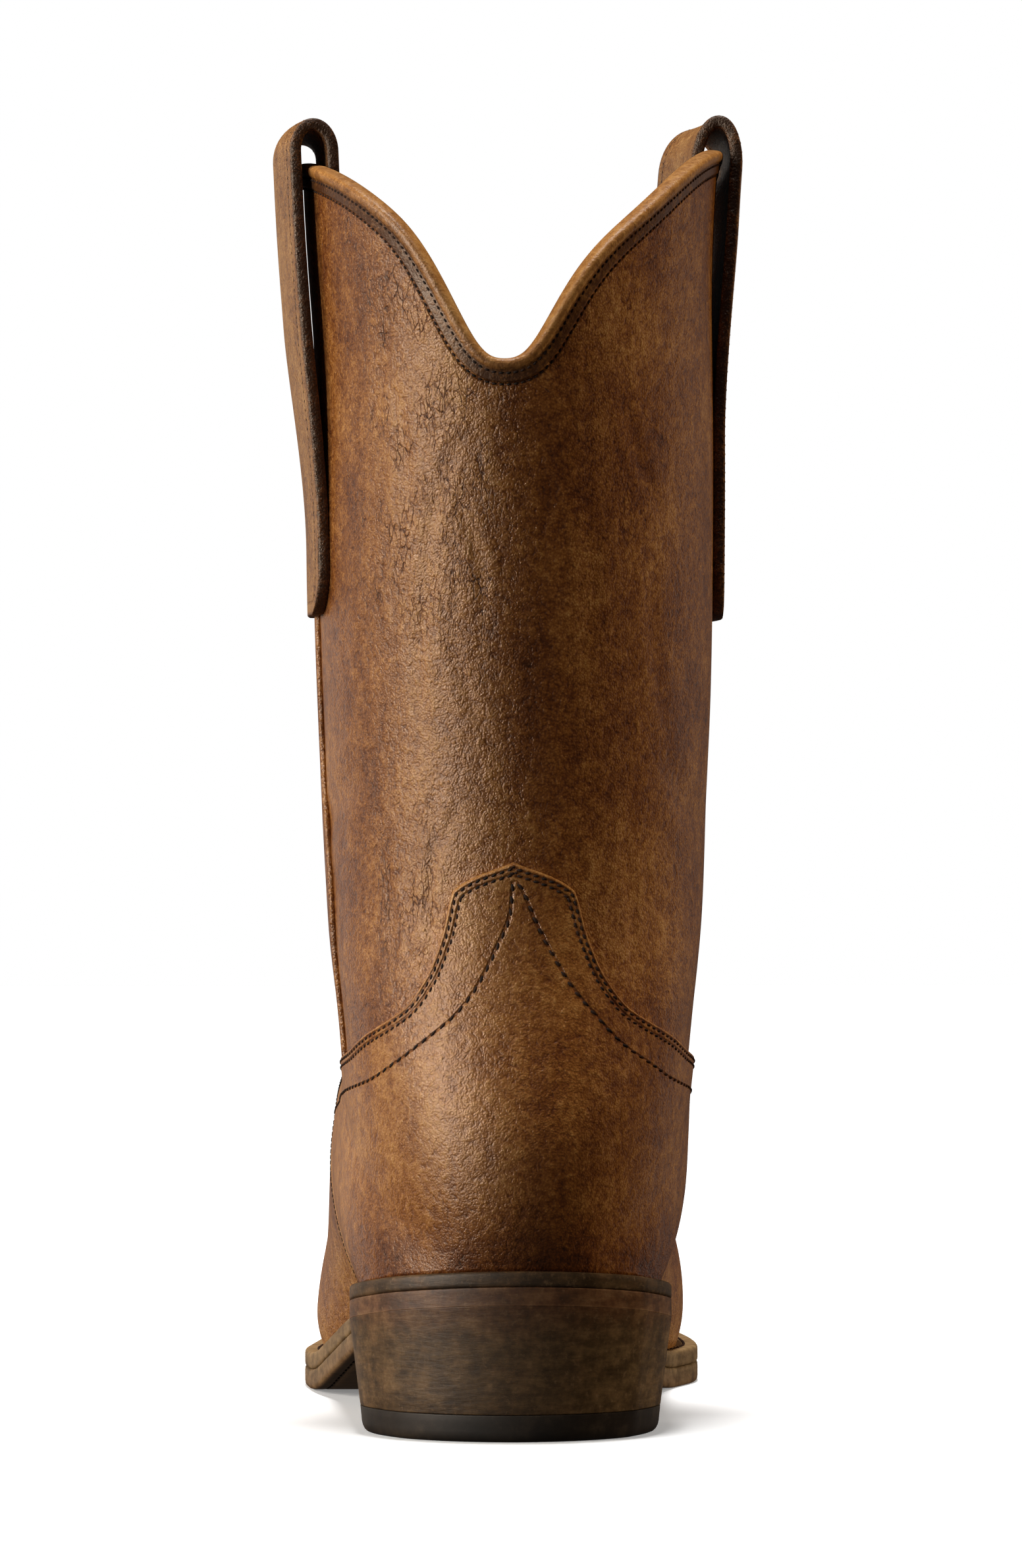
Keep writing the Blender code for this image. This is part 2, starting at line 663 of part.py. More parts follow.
grid_object("topline_binding", binding_face, (UPPER_STEPS[1], BINDING_CORNERS), binding_leather)

# Pull straps: up the outside, folded over above the collar, down the inside


def pull_strap(name, side, sizes):
    size = dict(zip(STRAP_COLUMNS, sizes))
    sewn = OVERLAY_GAP + STRAP_THICK / 2.0
    fold_high = size["top_z"] - STRAP_THICK / 2.0 - STRAP_FOLD_Z

    def face(u, v):
        y = size["middle_y"] - side * STRAP_HALF_WIDE * (1.0 - 2.0 * u)
        far = (y - size["middle_y"]) / (2.0 * STRAP_HALF_WIDE) + 0.5
        stand = size["near_stand"] + (size["far_stand"] - size["near_stand"]) * far
        rise = np.clip(v / STRAP_SHARES[0], 0.0, 1.0)
        fold = np.clip((v - STRAP_SHARES[0]) / (STRAP_SHARES[1] - STRAP_SHARES[0]), 0.0, 1.0)
        drop = np.clip((v - STRAP_SHARES[1]) / (1.0 - STRAP_SHARES[1]), 0.0, 1.0)
        z = STRAP_OUTER_Z + (STRAP_FOLD_Z - STRAP_OUTER_Z) * rise
        z = z + fold_high * np.sin(math.pi * fold) - (STRAP_FOLD_Z - STRAP_INNER_Z) * drop
        free = ease(z, size["free_from_z"], size["free_to_z"])
        outer = sewn + (stand - sewn) * free
        inner = -WALL - sewn - (size["inner_stand"] - WALL - sewn) * free
        bend = 0.5 - 0.5 * np.cos(math.pi * fold)
        t, angle = locate(y, z)
        return tube_off(t, side * angle, outer + (inner - outer) * bend)

    thicken(grid_object(name, face, STRAP_STEPS, strap_leather), STRAP_THICK, 0.0)


pull_strap("pull_strap_lateral", -1.0, STRAP_LATERAL)
pull_strap("pull_strap_medial", 1.0, STRAP_MEDIAL)

# Insole and outsole: plates with a ring of corners for a cross section
PLATE_CORNERS = ((-1.0, 0.0), (-0.5, 0.0), (0.0, 0.0), (0.5, 0.0), (1.0, 0.0),
                 (1.0, 1.0), (0.5, 1.0), (0.0, 1.0), (-0.5, 1.0), (-1.0, 1.0))


def insole_face(u, v):
    across, level = corner_of(v, PLATE_CORNERS)
    round_share = 0.5 - 0.5 * np.cos(math.pi * u)
    feather_y = FEATHER_BACK_Y + (FEATHER_TIP_Y - FEATHER_BACK_Y) * round_share
    y = feather_y + INSOLE_INSET * np.cos(math.pi * u)
    x = outline_middle(y) + across * feather_half(feather_y) * INSOLE_SHARE
    return np.stack((x, y, feather_z(y) + INSOLE_THICK * level), axis=-1)


def outsole_face(u, v):
    across, level = corner_of(v, PLATE_CORNERS)
    y = LENGTH * (0.5 - 0.5 * np.cos(math.pi * u))
    x = outline_middle(y) + across * outline_half(y)
    bottom = outsole_bottom(y)
    return np.stack((x, y, bottom + (outsole_top(y) - bottom) * level), axis=-1)


grid_object("insole", insole_face, (SOLE_STEPS, len(PLATE_CORNERS)), insole_leather)
grid_object("outsole", outsole_face, (SOLE_STEPS, len(PLATE_CORNERS)), outsole_leather)

# Welt: a strip all round on top of the outsole's edge
WELT_CORNERS = ((0.0, 0.0), (1.0, 0.0), (1.0, 1.0), (0.0, 1.0))


def welt_face(u, v):
    inward, level = corner_of(v, WELT_CORNERS)
    turn = 2.0 * math.pi * u
    outer_y = LENGTH * (0.5 - 0.5 * np.cos(turn))
    y = outer_y + inward * WELT_WIDE * np.cos(turn)
    half = outline_half(outer_y) * (1.0 - inward * WELT_SHARE)
    x = outline_middle(y) + np.sign(np.round(np.sin(turn), 9)) * half
    bottom = outsole_top(y) + GAP
    return np.stack((x, y, bottom + (welt_top(y) - bottom) * level), axis=-1)


grid_object("welt", welt_face, (WELT_STEPS, len(WELT_CORNERS)), welt_leather)

# Heel: a D shaped block that narrows to the floor, and its rubber cap


def heel_plan(around, height):
    """Wall of the heel at a height, from one breast corner round the back to the other, and straight across.

    It follows the sole's edge at the seat, and it is drawn in and raked at the back towards the floor.
    """
    swing = 2.0 * (np.rint(around * HEEL_STEPS) % HEEL_STEPS) / (HEEL_STEPS - 1.0) - 1.0
    down = 1.0 - height / SEAT_BACK_Z
    inset = HEEL_SEAT_INSET + (HEEL_FLOOR_INSET - HEEL_SEAT_INSET) * down
    seat_y = HEEL_BREAST_Y * swing ** 2
    y = seat_y + (HEEL_SEAT_INSET + HEEL_BACK_RAKE * down) * (1.0 - swing ** 2)
    x = outline_middle(seat_y) + np.sign(swing) * outline_half(seat_y) * (1.0 - inset / HEEL_HALF_WIDE)
    return x, y


def stack_face(u, v):
    low = CAP_TOP + GAP
    seat = SEAT_BACK_Z - GAP
    x, y = heel_plan(u, low + (seat - low) * v)
    return np.stack((x, y, low + (outsole_bottom(y) - GAP - low) * v), axis=-1)


def cap_face(u, v):
    """Rings from the drawn in tread up to the top of the cap."""
    level = np.rint(v * (len(CAP_RINGS) - 1)).astype(int)
    drawn = column(CAP_RINGS, CAP_RING_COLUMNS, "drawn")[level]
    height = column(CAP_RINGS, CAP_RING_COLUMNS, "z")[level]
    x, y = heel_plan(u, height)
    pull = 1.0 - drawn / HEEL_HALF_WIDE
    middle_y = HEEL_BREAST_Y / 2.0
    return np.stack((x * pull, middle_y + (y - middle_y) * pull, height), axis=-1)


grid_object("heel_stack", stack_face, (HEEL_STEPS, STACK_STEPS), stack_leather, close_ends=True)
grid_object("heel_cap", cap_face, (HEEL_STEPS, len(CAP_RINGS) - 1), cap_rubber, close_ends=True)
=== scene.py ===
import math

import bmesh
import bpy
import numpy as np
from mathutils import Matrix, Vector


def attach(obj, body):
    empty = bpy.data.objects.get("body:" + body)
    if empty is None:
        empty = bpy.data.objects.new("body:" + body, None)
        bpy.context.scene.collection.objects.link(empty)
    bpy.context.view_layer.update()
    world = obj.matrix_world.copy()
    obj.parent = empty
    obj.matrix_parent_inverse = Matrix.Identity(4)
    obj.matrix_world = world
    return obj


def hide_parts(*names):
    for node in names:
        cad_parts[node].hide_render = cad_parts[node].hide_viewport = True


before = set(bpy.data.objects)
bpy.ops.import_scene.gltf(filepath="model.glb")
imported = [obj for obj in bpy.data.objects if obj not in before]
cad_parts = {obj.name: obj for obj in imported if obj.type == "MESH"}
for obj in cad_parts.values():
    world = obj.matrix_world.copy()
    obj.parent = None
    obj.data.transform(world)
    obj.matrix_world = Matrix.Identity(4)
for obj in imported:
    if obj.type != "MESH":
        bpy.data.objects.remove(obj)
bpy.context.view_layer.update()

# Upper: the shaft and the foot below it, full-grain cowhide that was dyed, waxed and rubbed back by hand.
# It is pulled over a last, with natural leather glued inside as a lining, and is open at collar and sole.
# All sizes are millimetres: y from the back of the heel to the toe, x to the inner side, z up from the floor.
MM = 0.001
MIDDLE = np.array((1.21, 148.33, 0.0))
LENGTH = 300.0
GAP = 0.3
WALL = 2.3
OUTLINE_COLUMNS = ("y", "middle", "half")
OUTLINE = (
    (0.0, 0.0, 0.0),
    (6.0, 0.0, 20.5),
    (16.0, 0.0, 31.0),
    (36.0, 0.0, 38.0),
    (60.0, 0.0, 36.0),
    (88.0, 0.2, 32.0),
    (113.0, 0.4, 36.0),
    (140.0, 0.6, 41.2),
    (165.0, 2.0, 46.2),
    (190.0, 5.8, 50.6),
    (215.0, 8.0, 49.2),
    (240.0, 9.4, 44.2),
    (265.0, 10.0, 35.0),
    (285.0, 10.0, 22.6),
    (295.0, 10.0, 13.2),
    (300.0, 10.0, 0.0),
)
SEAT_BACK_Z = 31.9
SEAT_SLOPE = 0.145
SEAT_END_Y = 62.0
SHANK_COLUMNS = ("y", "z")
SHANK = ((87.0, 19.2), (113.0, 13.2), (140.0, 5.4), (157.0, 1.1), (168.0, 0.0))
TREAD_END_Y = 212.0
TOE_SPRING = 9.0
TOE_SPRING_POWER = 1.9
OUTSOLE_HEEL = 4.3
OUTSOLE_TREAD = 5.1
WELT_HEEL = 3.4
WELT_TREAD = 4.1
LAYER_BLEND = (62.0, 130.0)
FEATHER_BACK_Y = 4.0
FEATHER_TIP_Y = 293.0
FEATHER_SHARE_HEEL = 0.89
FEATHER_SHARE_TREAD = 0.86
OPENING_MARGIN = 1.015
FOOT_COLUMNS = ("base_y", "ridge_y", "ridge_z", "half", "belly", "crest", "ridge_x")
FOOT = (
    (293.0, 293.6, 27.0, 0.0, 0.36, 0.86, 10.0),
    (286.0, 288.4, 39.0, 14.6, 0.34, 0.86, 10.0),
    (270.0, 273.0, 49.0, 26.6, 0.30, 0.86, 9.8),
    (245.0, 248.5, 57.0, 36.6, 0.24, 0.89, 9.2),
    (215.0, 219.0, 64.5, 43.2, 0.18, 0.94, 8.8),
    (190.0, 196.0, 72.5, 45.0, 0.15, 0.98, 8.4),
    (165.0, 175.0, 83.0, 43.9, 0.16, 1.02, 7.8),
    (140.0, 157.0, 95.0, 41.6, 0.24, 1.05, 6.6),
    (115.0, 144.0, 107.0, 41.2, 0.32, 1.06, 5.6),
    (90.0, 135.5, 118.0, 41.3, 0.35, 1.05, 5.2),
    (65.0, 130.2, 127.5, 41.2, 0.34, 1.03, 5.3),
    (40.0, 127.2, 133.5, 40.8, 0.30, 1.0, 5.5),
    (18.0, 125.8, 137.2, 40.3, 0.37, 0.98, 5.7),
    (4.0, 125.2, 140.5, 40.5, 0.47, 0.97, 5.9),
)
SHAFT_COLUMNS = ("back_y", "back_z", "front_y", "front_z", "half", "back_x", "front_x")
SHAFT = (
    (-2.0, 63.0, 125.0, 146.0, 42.2, 0.0, 6.0),
    (1.2, 89.0, 125.3, 152.8, 44.2, -0.3, 6.3),
    (7.2, 114.0, 126.0, 159.2, 45.3, -0.6, 6.6),
    (9.3, 140.0, 127.0, 166.0, 45.9, -0.9, 7.1),
    (9.0, 170.0, 129.0, 176.0, 46.8, -1.4, 7.8),
    (7.0, 206.0, 133.4, 206.0, 47.6, -2.2, 8.4),
    (4.6, 246.0, 139.0, 246.0, 47.9, -3.0, 9.0),
    (2.4, 280.0, 143.4, 280.0, 49.0, -4.2, 8.0),
    (0.4, 316.0, 147.6, 316.0, 51.0, -4.2, 8.5),
)
SHAFT_BELLY = 0.5
SHAFT_CREST = 0.96
CLOSED_FROM_ROW = (7.0, 9.5)
HEEL_ROW = len(FOOT) - 1.0
LAST_ROW = len(FOOT) + len(SHAFT) - 1.0
PEAK_LATERAL_Z = 301.5
PEAK_MEDIAL_Z = 305.4
DIP_BACK_Z = 246.4
DIP_FRONT_Z = 249.0
DIP_WIDTH = math.radians(26.2)
DIP_ROUND_HIGH = 3.2
DIP_ROUND_WIDE = 0.13
DIP_SLOPES = ((-1.0, 2.2, 0.41, 0.22), (1.0, -6.6, 0.7, 0.4))
DIP_KEEP = 0.15
COLLAR_ROWS = (2.1, 4.75)
SCALLOP_FROM_Z = 178.0
HALVINGS = 36
SAMPLES = 400
SLOPE_STEP = 1e-3
SEAM_LIMIT = 0.02
TIP_LIMIT = 0.05
TINY = 1e-6


def spline(at, knots, values):
    """Natural cubic spline: piecewise cubics through the knots with a continuous second derivative."""
    knots = np.asarray(knots, float)
    values = np.asarray(values, float)
    step = np.diff(knots)
    rise = np.diff(values) / step
    size = len(knots)
    system = np.eye(size)
    right = np.zeros(size)
    for i in range(1, size - 1):
        system[i, i - 1:i + 2] = step[i - 1], 2.0 * (step[i - 1] + step[i]), step[i]
        right[i] = 6.0 * (rise[i] - rise[i - 1])
    bend = np.linalg.solve(system, right)
    at = np.clip(at, knots[0], knots[-1])
    i = np.clip(np.searchsorted(knots, at, side="right") - 1, 0, size - 2)
    a = (knots[i + 1] - at) / step[i]
    b = (at - knots[i]) / step[i]
    curve = ((a ** 3 - a) * bend[i] + (b ** 3 - b) * bend[i + 1]) * step[i] ** 2 / 6.0
    return a * values[i] + b * values[i + 1] + curve


def monotone(at, knots, values):
    """Cubic Hermite through the knots with slopes limited so that it never overshoots them."""
    knots = np.asarray(knots, float)
    values = np.asarray(values, float)
    step = np.diff(knots)
    rise = np.diff(values) / step
    turn = rise[1:] * rise[:-1]
    safe = np.where(turn > 0.0, rise[1:] + rise[:-1], 1.0)
    slope = np.concatenate(([rise[0]], np.where(turn > 0.0, 2.0 * turn / safe, 0.0), [rise[-1]]))
    at = np.clip(at, knots[0], knots[-1])
    i = np.clip(np.searchsorted(knots, at, side="right") - 1, 0, len(knots) - 2)
    b = (at - knots[i]) / step[i]
    start = values[i] + step[i] * slope[i] * b * (1.0 - b) ** 2
    lift = (values[i + 1] - values[i]) * b * b * (3.0 - 2.0 * b)
    return start + lift - step[i] * slope[i + 1] * b * b * (1.0 - b)


def ease(at, low, high):
    """Smooth step from 0 at low to 1 at high."""
    b = np.clip((np.asarray(at, float) - low) / (high - low), 0.0, 1.0)
    return b * b * (3.0 - 2.0 * b)


def column(table, names, name):
    """One named column of a table as an array."""
    return np.array([row[names.index(name)] for row in table])


def outline_half(y):
    """Half width of the sole edge; its square is interpolated, so both ends come out round."""
    half = column(OUTLINE, OUTLINE_COLUMNS, "half")
    return np.sqrt(np.maximum(monotone(y, column(OUTLINE, OUTLINE_COLUMNS, "y"), half ** 2), 0.0))


def outline_middle(y):
    """Middle line of the sole, a spline that swings to the inner side of the foot."""
    return spline(y, column(OUTLINE, OUTLINE_COLUMNS, "y"), column(OUTLINE, OUTLINE_COLUMNS, "middle"))


def outsole_bottom(y):
    """Underside: the straight seat, then the shank down to the flat tread, then the toe spring."""
    y = np.asarray(y, float)
    seat = SEAT_BACK_Z - SEAT_SLOPE * y
    knots = np.concatenate(([0.0, SEAT_END_Y], column(SHANK, SHANK_COLUMNS, "y")))
    ends = [SEAT_BACK_Z, SEAT_BACK_Z - SEAT_SLOPE * SEAT_END_Y]
    shank = monotone(y, knots, np.concatenate((ends, column(SHANK, SHANK_COLUMNS, "z"))))
    rise = np.clip((y - TREAD_END_Y) / (LENGTH - TREAD_END_Y), 0.0, 1.0)
    return np.where(y < SEAT_END_Y, seat, shank) + TOE_SPRING * rise ** TOE_SPRING_POWER


def outsole_top(y):
    """Top of the outsole, which is a little thicker under the tread than under the heel."""
    return outsole_bottom(y) + OUTSOLE_HEEL + (OUTSOLE_TREAD - OUTSOLE_HEEL) * ease(y, *LAYER_BLEND)


def welt_top(y):
    """Top of the welt, which lies on the outsole with a hair's gap."""
    return outsole_top(y) + GAP + WELT_HEEL + (WELT_TREAD - WELT_HEEL) * ease(y, *LAYER_BLEND)


def feather_z(y):
    """Height of the feather line, where the upper stands on the welt."""
    return welt_top(y) + GAP


def feather_half(y):
    """Half width of the upper where it stands on the welt."""
    y = np.asarray(y, float)
    stretched = (y - FEATHER_BACK_Y) / (FEATHER_TIP_Y - FEATHER_BACK_Y) * LENGTH
    share = FEATHER_SHARE_HEEL + (FEATHER_SHARE_TREAD - FEATHER_SHARE_HEEL) * ease(y, *LAYER_BLEND)
    return outline_half(stretched) * share


def section_rows():
    """The two section tables as one set of columns, one row to each whole t from toe tip to collar."""
    foot = {name: column(FOOT, FOOT_COLUMNS, name) for name in FOOT_COLUMNS}
    shaft = {name: column(SHAFT, SHAFT_COLUMNS, name) for name in SHAFT_COLUMNS}
    opening = np.minimum(feather_half(foot["base_y"]), foot["half"] / OPENING_MARGIN)
    slant = np.sqrt(1.0 - (opening / np.maximum(foot["half"], 1.0)) ** 2)
    reach = foot["belly"] / slant
    first = int(CLOSED_FROM_ROW[0])
    reach[:first] = reach[first]
    closed = np.full(len(SHAFT), SHAFT_BELLY)
    return {
        "base_y": np.concatenate((foot["base_y"], shaft["back_y"])),
        "base_z": np.concatenate((feather_z(foot["base_y"]), shaft["back_z"])),
        "base_x": np.concatenate((outline_middle(foot["base_y"]), shaft["back_x"])),
        "ridge_y": np.concatenate((foot["ridge_y"], shaft["front_y"])),
        "ridge_z": np.concatenate((foot["ridge_z"], shaft["front_z"])),
        "ridge_x": np.concatenate((foot["ridge_x"], shaft["front_x"])),
        "half": np.concatenate((foot["half"], shaft["half"])),
        "belly": np.concatenate((foot["belly"], closed)),
        "reach": np.concatenate((reach, closed)),
        "crest": np.concatenate((foot["crest"], np.full(len(SHAFT), SHAFT_CREST))),
    }


ROWS = section_rows()


def row_value(name, t):
    """A column of the sections at t, a spline; the half width goes by its square, so the toe closes round."""
    knots = np.arange(len(ROWS[name]), dtype=float)
    if name == "half":
        return np.sqrt(np.maximum(spline(t, knots, ROWS[name] ** 2), 0.0))
    return spline(t, knots, ROWS[name])


def section_line(t):
    """Base and ridge points of a section in the side view, as y and z."""
    base_y = row_value("base_y", t)
    base_z = np.where(t < HEEL_ROW, feather_z(base_y), row_value("base_z", t))
    return base_y, base_z, row_value("ridge_y", t), row_value("ridge_z", t)


def section_form(t):
    """Half width, start angle at the sole opening and height share of the widest point of a section."""
    base_y = np.maximum(row_value("base_y", t), FEATHER_BACK_Y)
    opening = np.where(t < HEEL_ROW, feather_half(base_y), 0.0)
    half = np.maximum(row_value("half", t), opening * OPENING_MARGIN + TINY)
    start = np.arcsin(opening / half)
    closed = ease(t, *CLOSED_FROM_ROW)
    belly = row_value("belly", t) * (1.0 - closed) + row_value("reach", t) * np.cos(start) * closed
    return half, start, belly


def tube(t, angle):
    """Point of the upper's outer face before the collar is cut.

    t picks a section, a plane through a base point and a ridge point of the side view. The angle runs from
    -pi on the lateral base over 0 on the ridge to +pi on the medial base. Across the section the half width
    follows the sine of the turn from the base, raised to the crest power above the widest point, and it
    starts where the sole opening cuts it.
    """
    t = np.asarray(t, float)
    angle = np.asarray(angle, float)
    base_y, base_z, ridge_y, ridge_z = section_line(t)
    half, start, belly = section_form(t)
    turn = start + (math.pi - start) * (1.0 - np.abs(angle) / math.pi)
    sine = np.clip(np.sin(turn), 0.0, 1.0)
    above = turn > math.pi / 2.0
    wide = half * np.where(above, sine ** row_value("crest", t), sine)
    low = belly * (1.0 - np.cos(turn) / np.cos(start))
    high = belly - (1.0 - belly) * np.cos(turn)
    along = np.where(above, high, low)
    base_x = np.where(t < HEEL_ROW, outline_middle(base_y), row_value("base_x", t))
    middle = base_x + (row_value("ridge_x", t) - base_x) * along
    y = base_y + (ridge_y - base_y) * along
    z = base_z + (ridge_z - base_z) * along
    return np.stack((middle + np.sign(angle) * wide, y, z), axis=-1)


def collar_z(angle):
    """Height of the collar edge: a peak at each side, falling to the back and front dips in a bell curve.

    A small bump fills the bottom of the back dip, so that it is round like a U. The lateral slope of that dip
    stands a little higher and the medial one lower, each by a bell curve that fades out at the bottom of the
    dip. A slope is its side, its height and, as turns from the back line, its middle and width.
    """
    peak = np.where(angle < 0.0, PEAK_LATERAL_Z, PEAK_MEDIAL_Z)
    rest = 1.0 / (1.0 + (math.pi / 2.0 / DIP_WIDTH) ** 2)
    from_back = math.pi - np.abs(angle)
    back = 1.0 / (1.0 + (from_back / DIP_WIDTH) ** 2)
    front = 1.0 / (1.0 + (np.abs(angle) / DIP_WIDTH) ** 2)
    back = np.clip((back - rest) / (1.0 - rest), 0.0, 1.0)
    front = np.clip((front - rest) / (1.0 - rest), 0.0, 1.0)
    mended = DIP_ROUND_HIGH * np.exp(-(from_back / DIP_ROUND_WIDE) ** 2)
    faded = 1.0 - np.exp(-(from_back / DIP_KEEP) ** 2)
    for side, high, middle, wide in DIP_SLOPES:
        bump = high * np.exp(-((from_back - middle) / wide) ** 2) * faded
        mended = mended + np.where(angle * side > 0.0, bump, 0.0)
    return peak - (peak - DIP_BACK_Z) * back - (peak - DIP_FRONT_Z) * front + mended


def row_at_height(angle, z):
    """Section t at which the line of the given angle passes height z on the shaft, by halving."""
    low = np.full(np.shape(angle), HEEL_ROW)
    high = np.full(np.shape(angle), LAST_ROW)
    for _ in range(HALVINGS):
        t = 0.5 * (low + high)
        under = tube(t, angle)[..., 2] < z
        low = np.where(under, t, low)
        high = np.where(under, high, t)
    return t


def collar_point(angle):
    """Point of the collar edge at an angle."""
    return tube(row_at_height(angle, collar_z(angle)), angle)


def slope_normal(t, angle):
    """Outward unit normal of the tube by central differences."""
    along = tube(t + SLOPE_STEP, angle) - tube(t - SLOPE_STEP, angle)
    across = tube(t, angle + SLOPE_STEP) - tube(t, angle - SLOPE_STEP)
    normal = np.cross(along, across)
    return normal / np.linalg.norm(normal, axis=-1, keepdims=True)


def tube_normal(t, angle):
    """Outward unit normal of the tube; the mean of both sides where they meet at toe tip and back seam."""
    limit = math.pi - SEAM_LIMIT
    near_t = np.clip(t, TIP_LIMIT, LAST_ROW - SLOPE_STEP)
    near_angle = np.clip(angle, -limit, limit)
    normal = slope_normal(near_t, near_angle)
    meeting = (t < SLOPE_STEP) | ((np.abs(angle) > limit) & (t >= HEEL_ROW))
    normal = normal + np.where(meeting[..., None], slope_normal(near_t, -near_angle), 0.0)
    return normal / np.linalg.norm(normal, axis=-1, keepdims=True)


def tube_off(t, angle, distance):
    """Point at a distance outside the tube."""
    return tube(t, angle) + tube_normal(t, angle) * np.asarray(distance)[..., None]


UPPER_COLUMNS = 265
UPPER_FOOT_ROWS = 60
UPPER_SHAFT_ROWS = 180
LINING_SHAFT_ROWS = 40
UPPER_CROWD = 0.45
ARC_RADIUS = 58.0
MERGE_MM = 0.004
SLIVER_MM = 0.002
NEAREST_BATCH = 4000
# Painted light and shade round the shaft: how much paler the lit band is and how much darker the shaded band.
BAND_LIT = 0.09
BAND_SHADE = 0.01
CRAZED_INWARD = 0.45
RIDGE_HIGH = 0.35
RIDGE_PLACE = 1.9
SHAFT_CREASES = (
    (-39.0, 246.0, 12.0, 13.0, 1.8, 0.22, 1.5),
    (-31.0, 232.0, -8.0, 16.0, 2.0, 0.25, -2.0),
    (-16.0, 229.0, 52.0, 9.0, 1.9, 0.18, 1.5),
    (-22.0, 214.0, 18.0, 15.0, 1.9, 0.25, 2.0),
    (-9.0, 206.0, -14.0, 14.0, 2.0, 0.24, -1.5),
    (-27.0, 186.0, 10.0, 18.0, 2.2, 0.28, 2.5),
    (-14.0, 176.0, -20.0, 12.0, 2.0, 0.22, 1.5),
    (26.0, 251.0, 66.0, 10.0, 1.9, 0.26, 1.5),
    (41.0, 228.0, -28.0, 14.0, 2.0, 0.28, 2.0),
    (24.0, 196.0, 6.0, 20.0, 2.4, 0.2, -2.0),
    (46.0, 186.0, -10.0, 18.0, 2.4, 0.24, 2.0),
    (-26.0, 126.0, 3.0, 17.0, 1.6, 0.32, 1.2),
    (-40.0, 124.0, -4.0, 13.0, 1.6, 0.24, -1.0),
    (-21.0, 140.0, 34.0, 8.0, 1.8, 0.26, 1.0),
    (38.0, 121.0, -5.0, 15.0, 1.8, 0.26, -1.2),
    (-58.0, 205.0, 5.0, 22.0, 2.6, 0.2, 2.0),
    (-66.0, 150.0, 70.0, 16.0, 4.2, 0.5, 3.0),
    (66.0, 148.0, -70.0, 16.0, 4.2, 0.5, 3.0),
    (-150.0, 152.0, 78.0, 30.0, 5.5, 0.9, 5.0),
    (150.0, 150.0, -78.0, 30.0, 5.5, 0.9, 5.0),
    (-158.0, 172.0, 80.0, 24.0, 5.0, 0.7, 4.0),
    (158.0, 170.0, -80.0, 24.0, 5.0, 0.7, 4.0),
    (-140.0, 222.0, 8.0, 26.0, 3.0, 0.3, 3.0),
    (128.0, 214.0, -10.0, 28.0, 3.0, 0.3, 3.0),
)


def creases(across, up, table):
    """Soft troughs on a developed surface, summed.

    Each is a Gaussian valley across a bowed line, with a low ridge on both sides, and fades at its ends.
    A row of the table has its place across and up, lean in degrees, reach along, width, depth and bow.
    """
    total = np.zeros(np.shape(up))
    for place, height, lean, reach, wide, deep, bow in table:
        slant = math.radians(lean)
        from_place = across - place
        from_height = up - height
        along = (from_place * math.sin(slant) + from_height * math.cos(slant)) / reach
        side = from_place * math.cos(slant) - from_height * math.sin(slant) - bow * along ** 2
        valley = np.abs(side) / wide
        ridge = RIDGE_HIGH * np.exp(-(valley - RIDGE_PLACE) ** 2)
        total += deep * np.exp(-along ** 4) * (ridge - np.exp(-valley ** 2))
    return total


def shaft_angle(share):
    """Angle for a share of the way round, with the lines crowded at the front and back dips."""
    turn = 2.0 * share - 1.0
    return math.pi * turn - UPPER_CROWD * np.sin(2.0 * math.pi * turn) / 2.0


def squeezed(t, angle):
    """Sections above the scallop's start drawn together, so that the last one is the collar edge."""
    start = row_at_height(angle, np.full(np.shape(angle), SCALLOP_FROM_Z))
    end = row_at_height(angle, collar_z(angle))
    return np.where(t > start, start + (t - start) * (end - start) / (LAST_ROW - start), t)


def put_mesh(name, points, faces, marks=None, kinds=None):
    """An object at the origin from points in millimetres and quads; marks are numbers kept on its points.

    Points that meet are merged, and the faces of a closed shell are turned outwards. Kinds are the faces'
    numbers in the list of materials.
    """
    mesh = bpy.data.meshes.new(name)
    mesh.from_pydata((points - MIDDLE) * MM, [], faces)
    if kinds is not None:
        mesh.polygons.foreach_set("material_index", kinds)
    for mark, values in (marks or {}).items():
        layer = mesh.attributes.new(mark, "FLOAT", "POINT")
        layer.data.foreach_set("value", np.asarray(values, np.float32).ravel())
    shape = bmesh.new()
    shape.from_mesh(mesh)
    bmesh.ops.remove_doubles(shape, verts=shape.verts, dist=MERGE_MM * MM)
    bmesh.ops.dissolve_degenerate(shape, edges=shape.edges, dist=SLIVER_MM * MM)
    bmesh.ops.recalc_face_normals(shape, faces=shape.faces)
    shape.to_mesh(mesh)
    shape.free()
    mesh.polygons.foreach_set("use_smooth", np.ones(len(mesh.polygons), bool))
    made = bpy.data.objects.new(name, mesh)
    bpy.context.scene.collection.objects.link(made)
    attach(made, "root")
    return made


def cells(number):
    """Quads between neighbouring rows and columns of a grid of point numbers."""
    corners = (number[:-1, :-1], number[1:, :-1], number[1:, 1:], number[:-1, 1:])
    return np.stack(corners, axis=-1).reshape(-1, 4)


def nearest(points, line):
    """Distance from each point to the nearest point of a finely sampled line."""
    flat = points.reshape(-1, 3)
    close = [
        np.sqrt(np.maximum(
            (part ** 2).sum(1)[:, None] + (line ** 2).sum(1)[None] - 2.0 * part @ line.T, 0.0).min(1))
        for part in np.array_split(flat, max(1, len(flat) // NEAREST_BATCH))
    ]
    return np.concatenate(close).reshape(points.shape[:-1])


def linear(code):
    """Linear colour with alpha from a hex sRGB code, by the sRGB transfer curve."""
    shares = [int(code[i:i + 2], 16) / 255.0 for i in (1, 3, 5)]
    return [s / 12.92 if s <= 0.04045 else ((s + 0.055) / 1.055) ** 2.4 for s in shares] + [1.0]


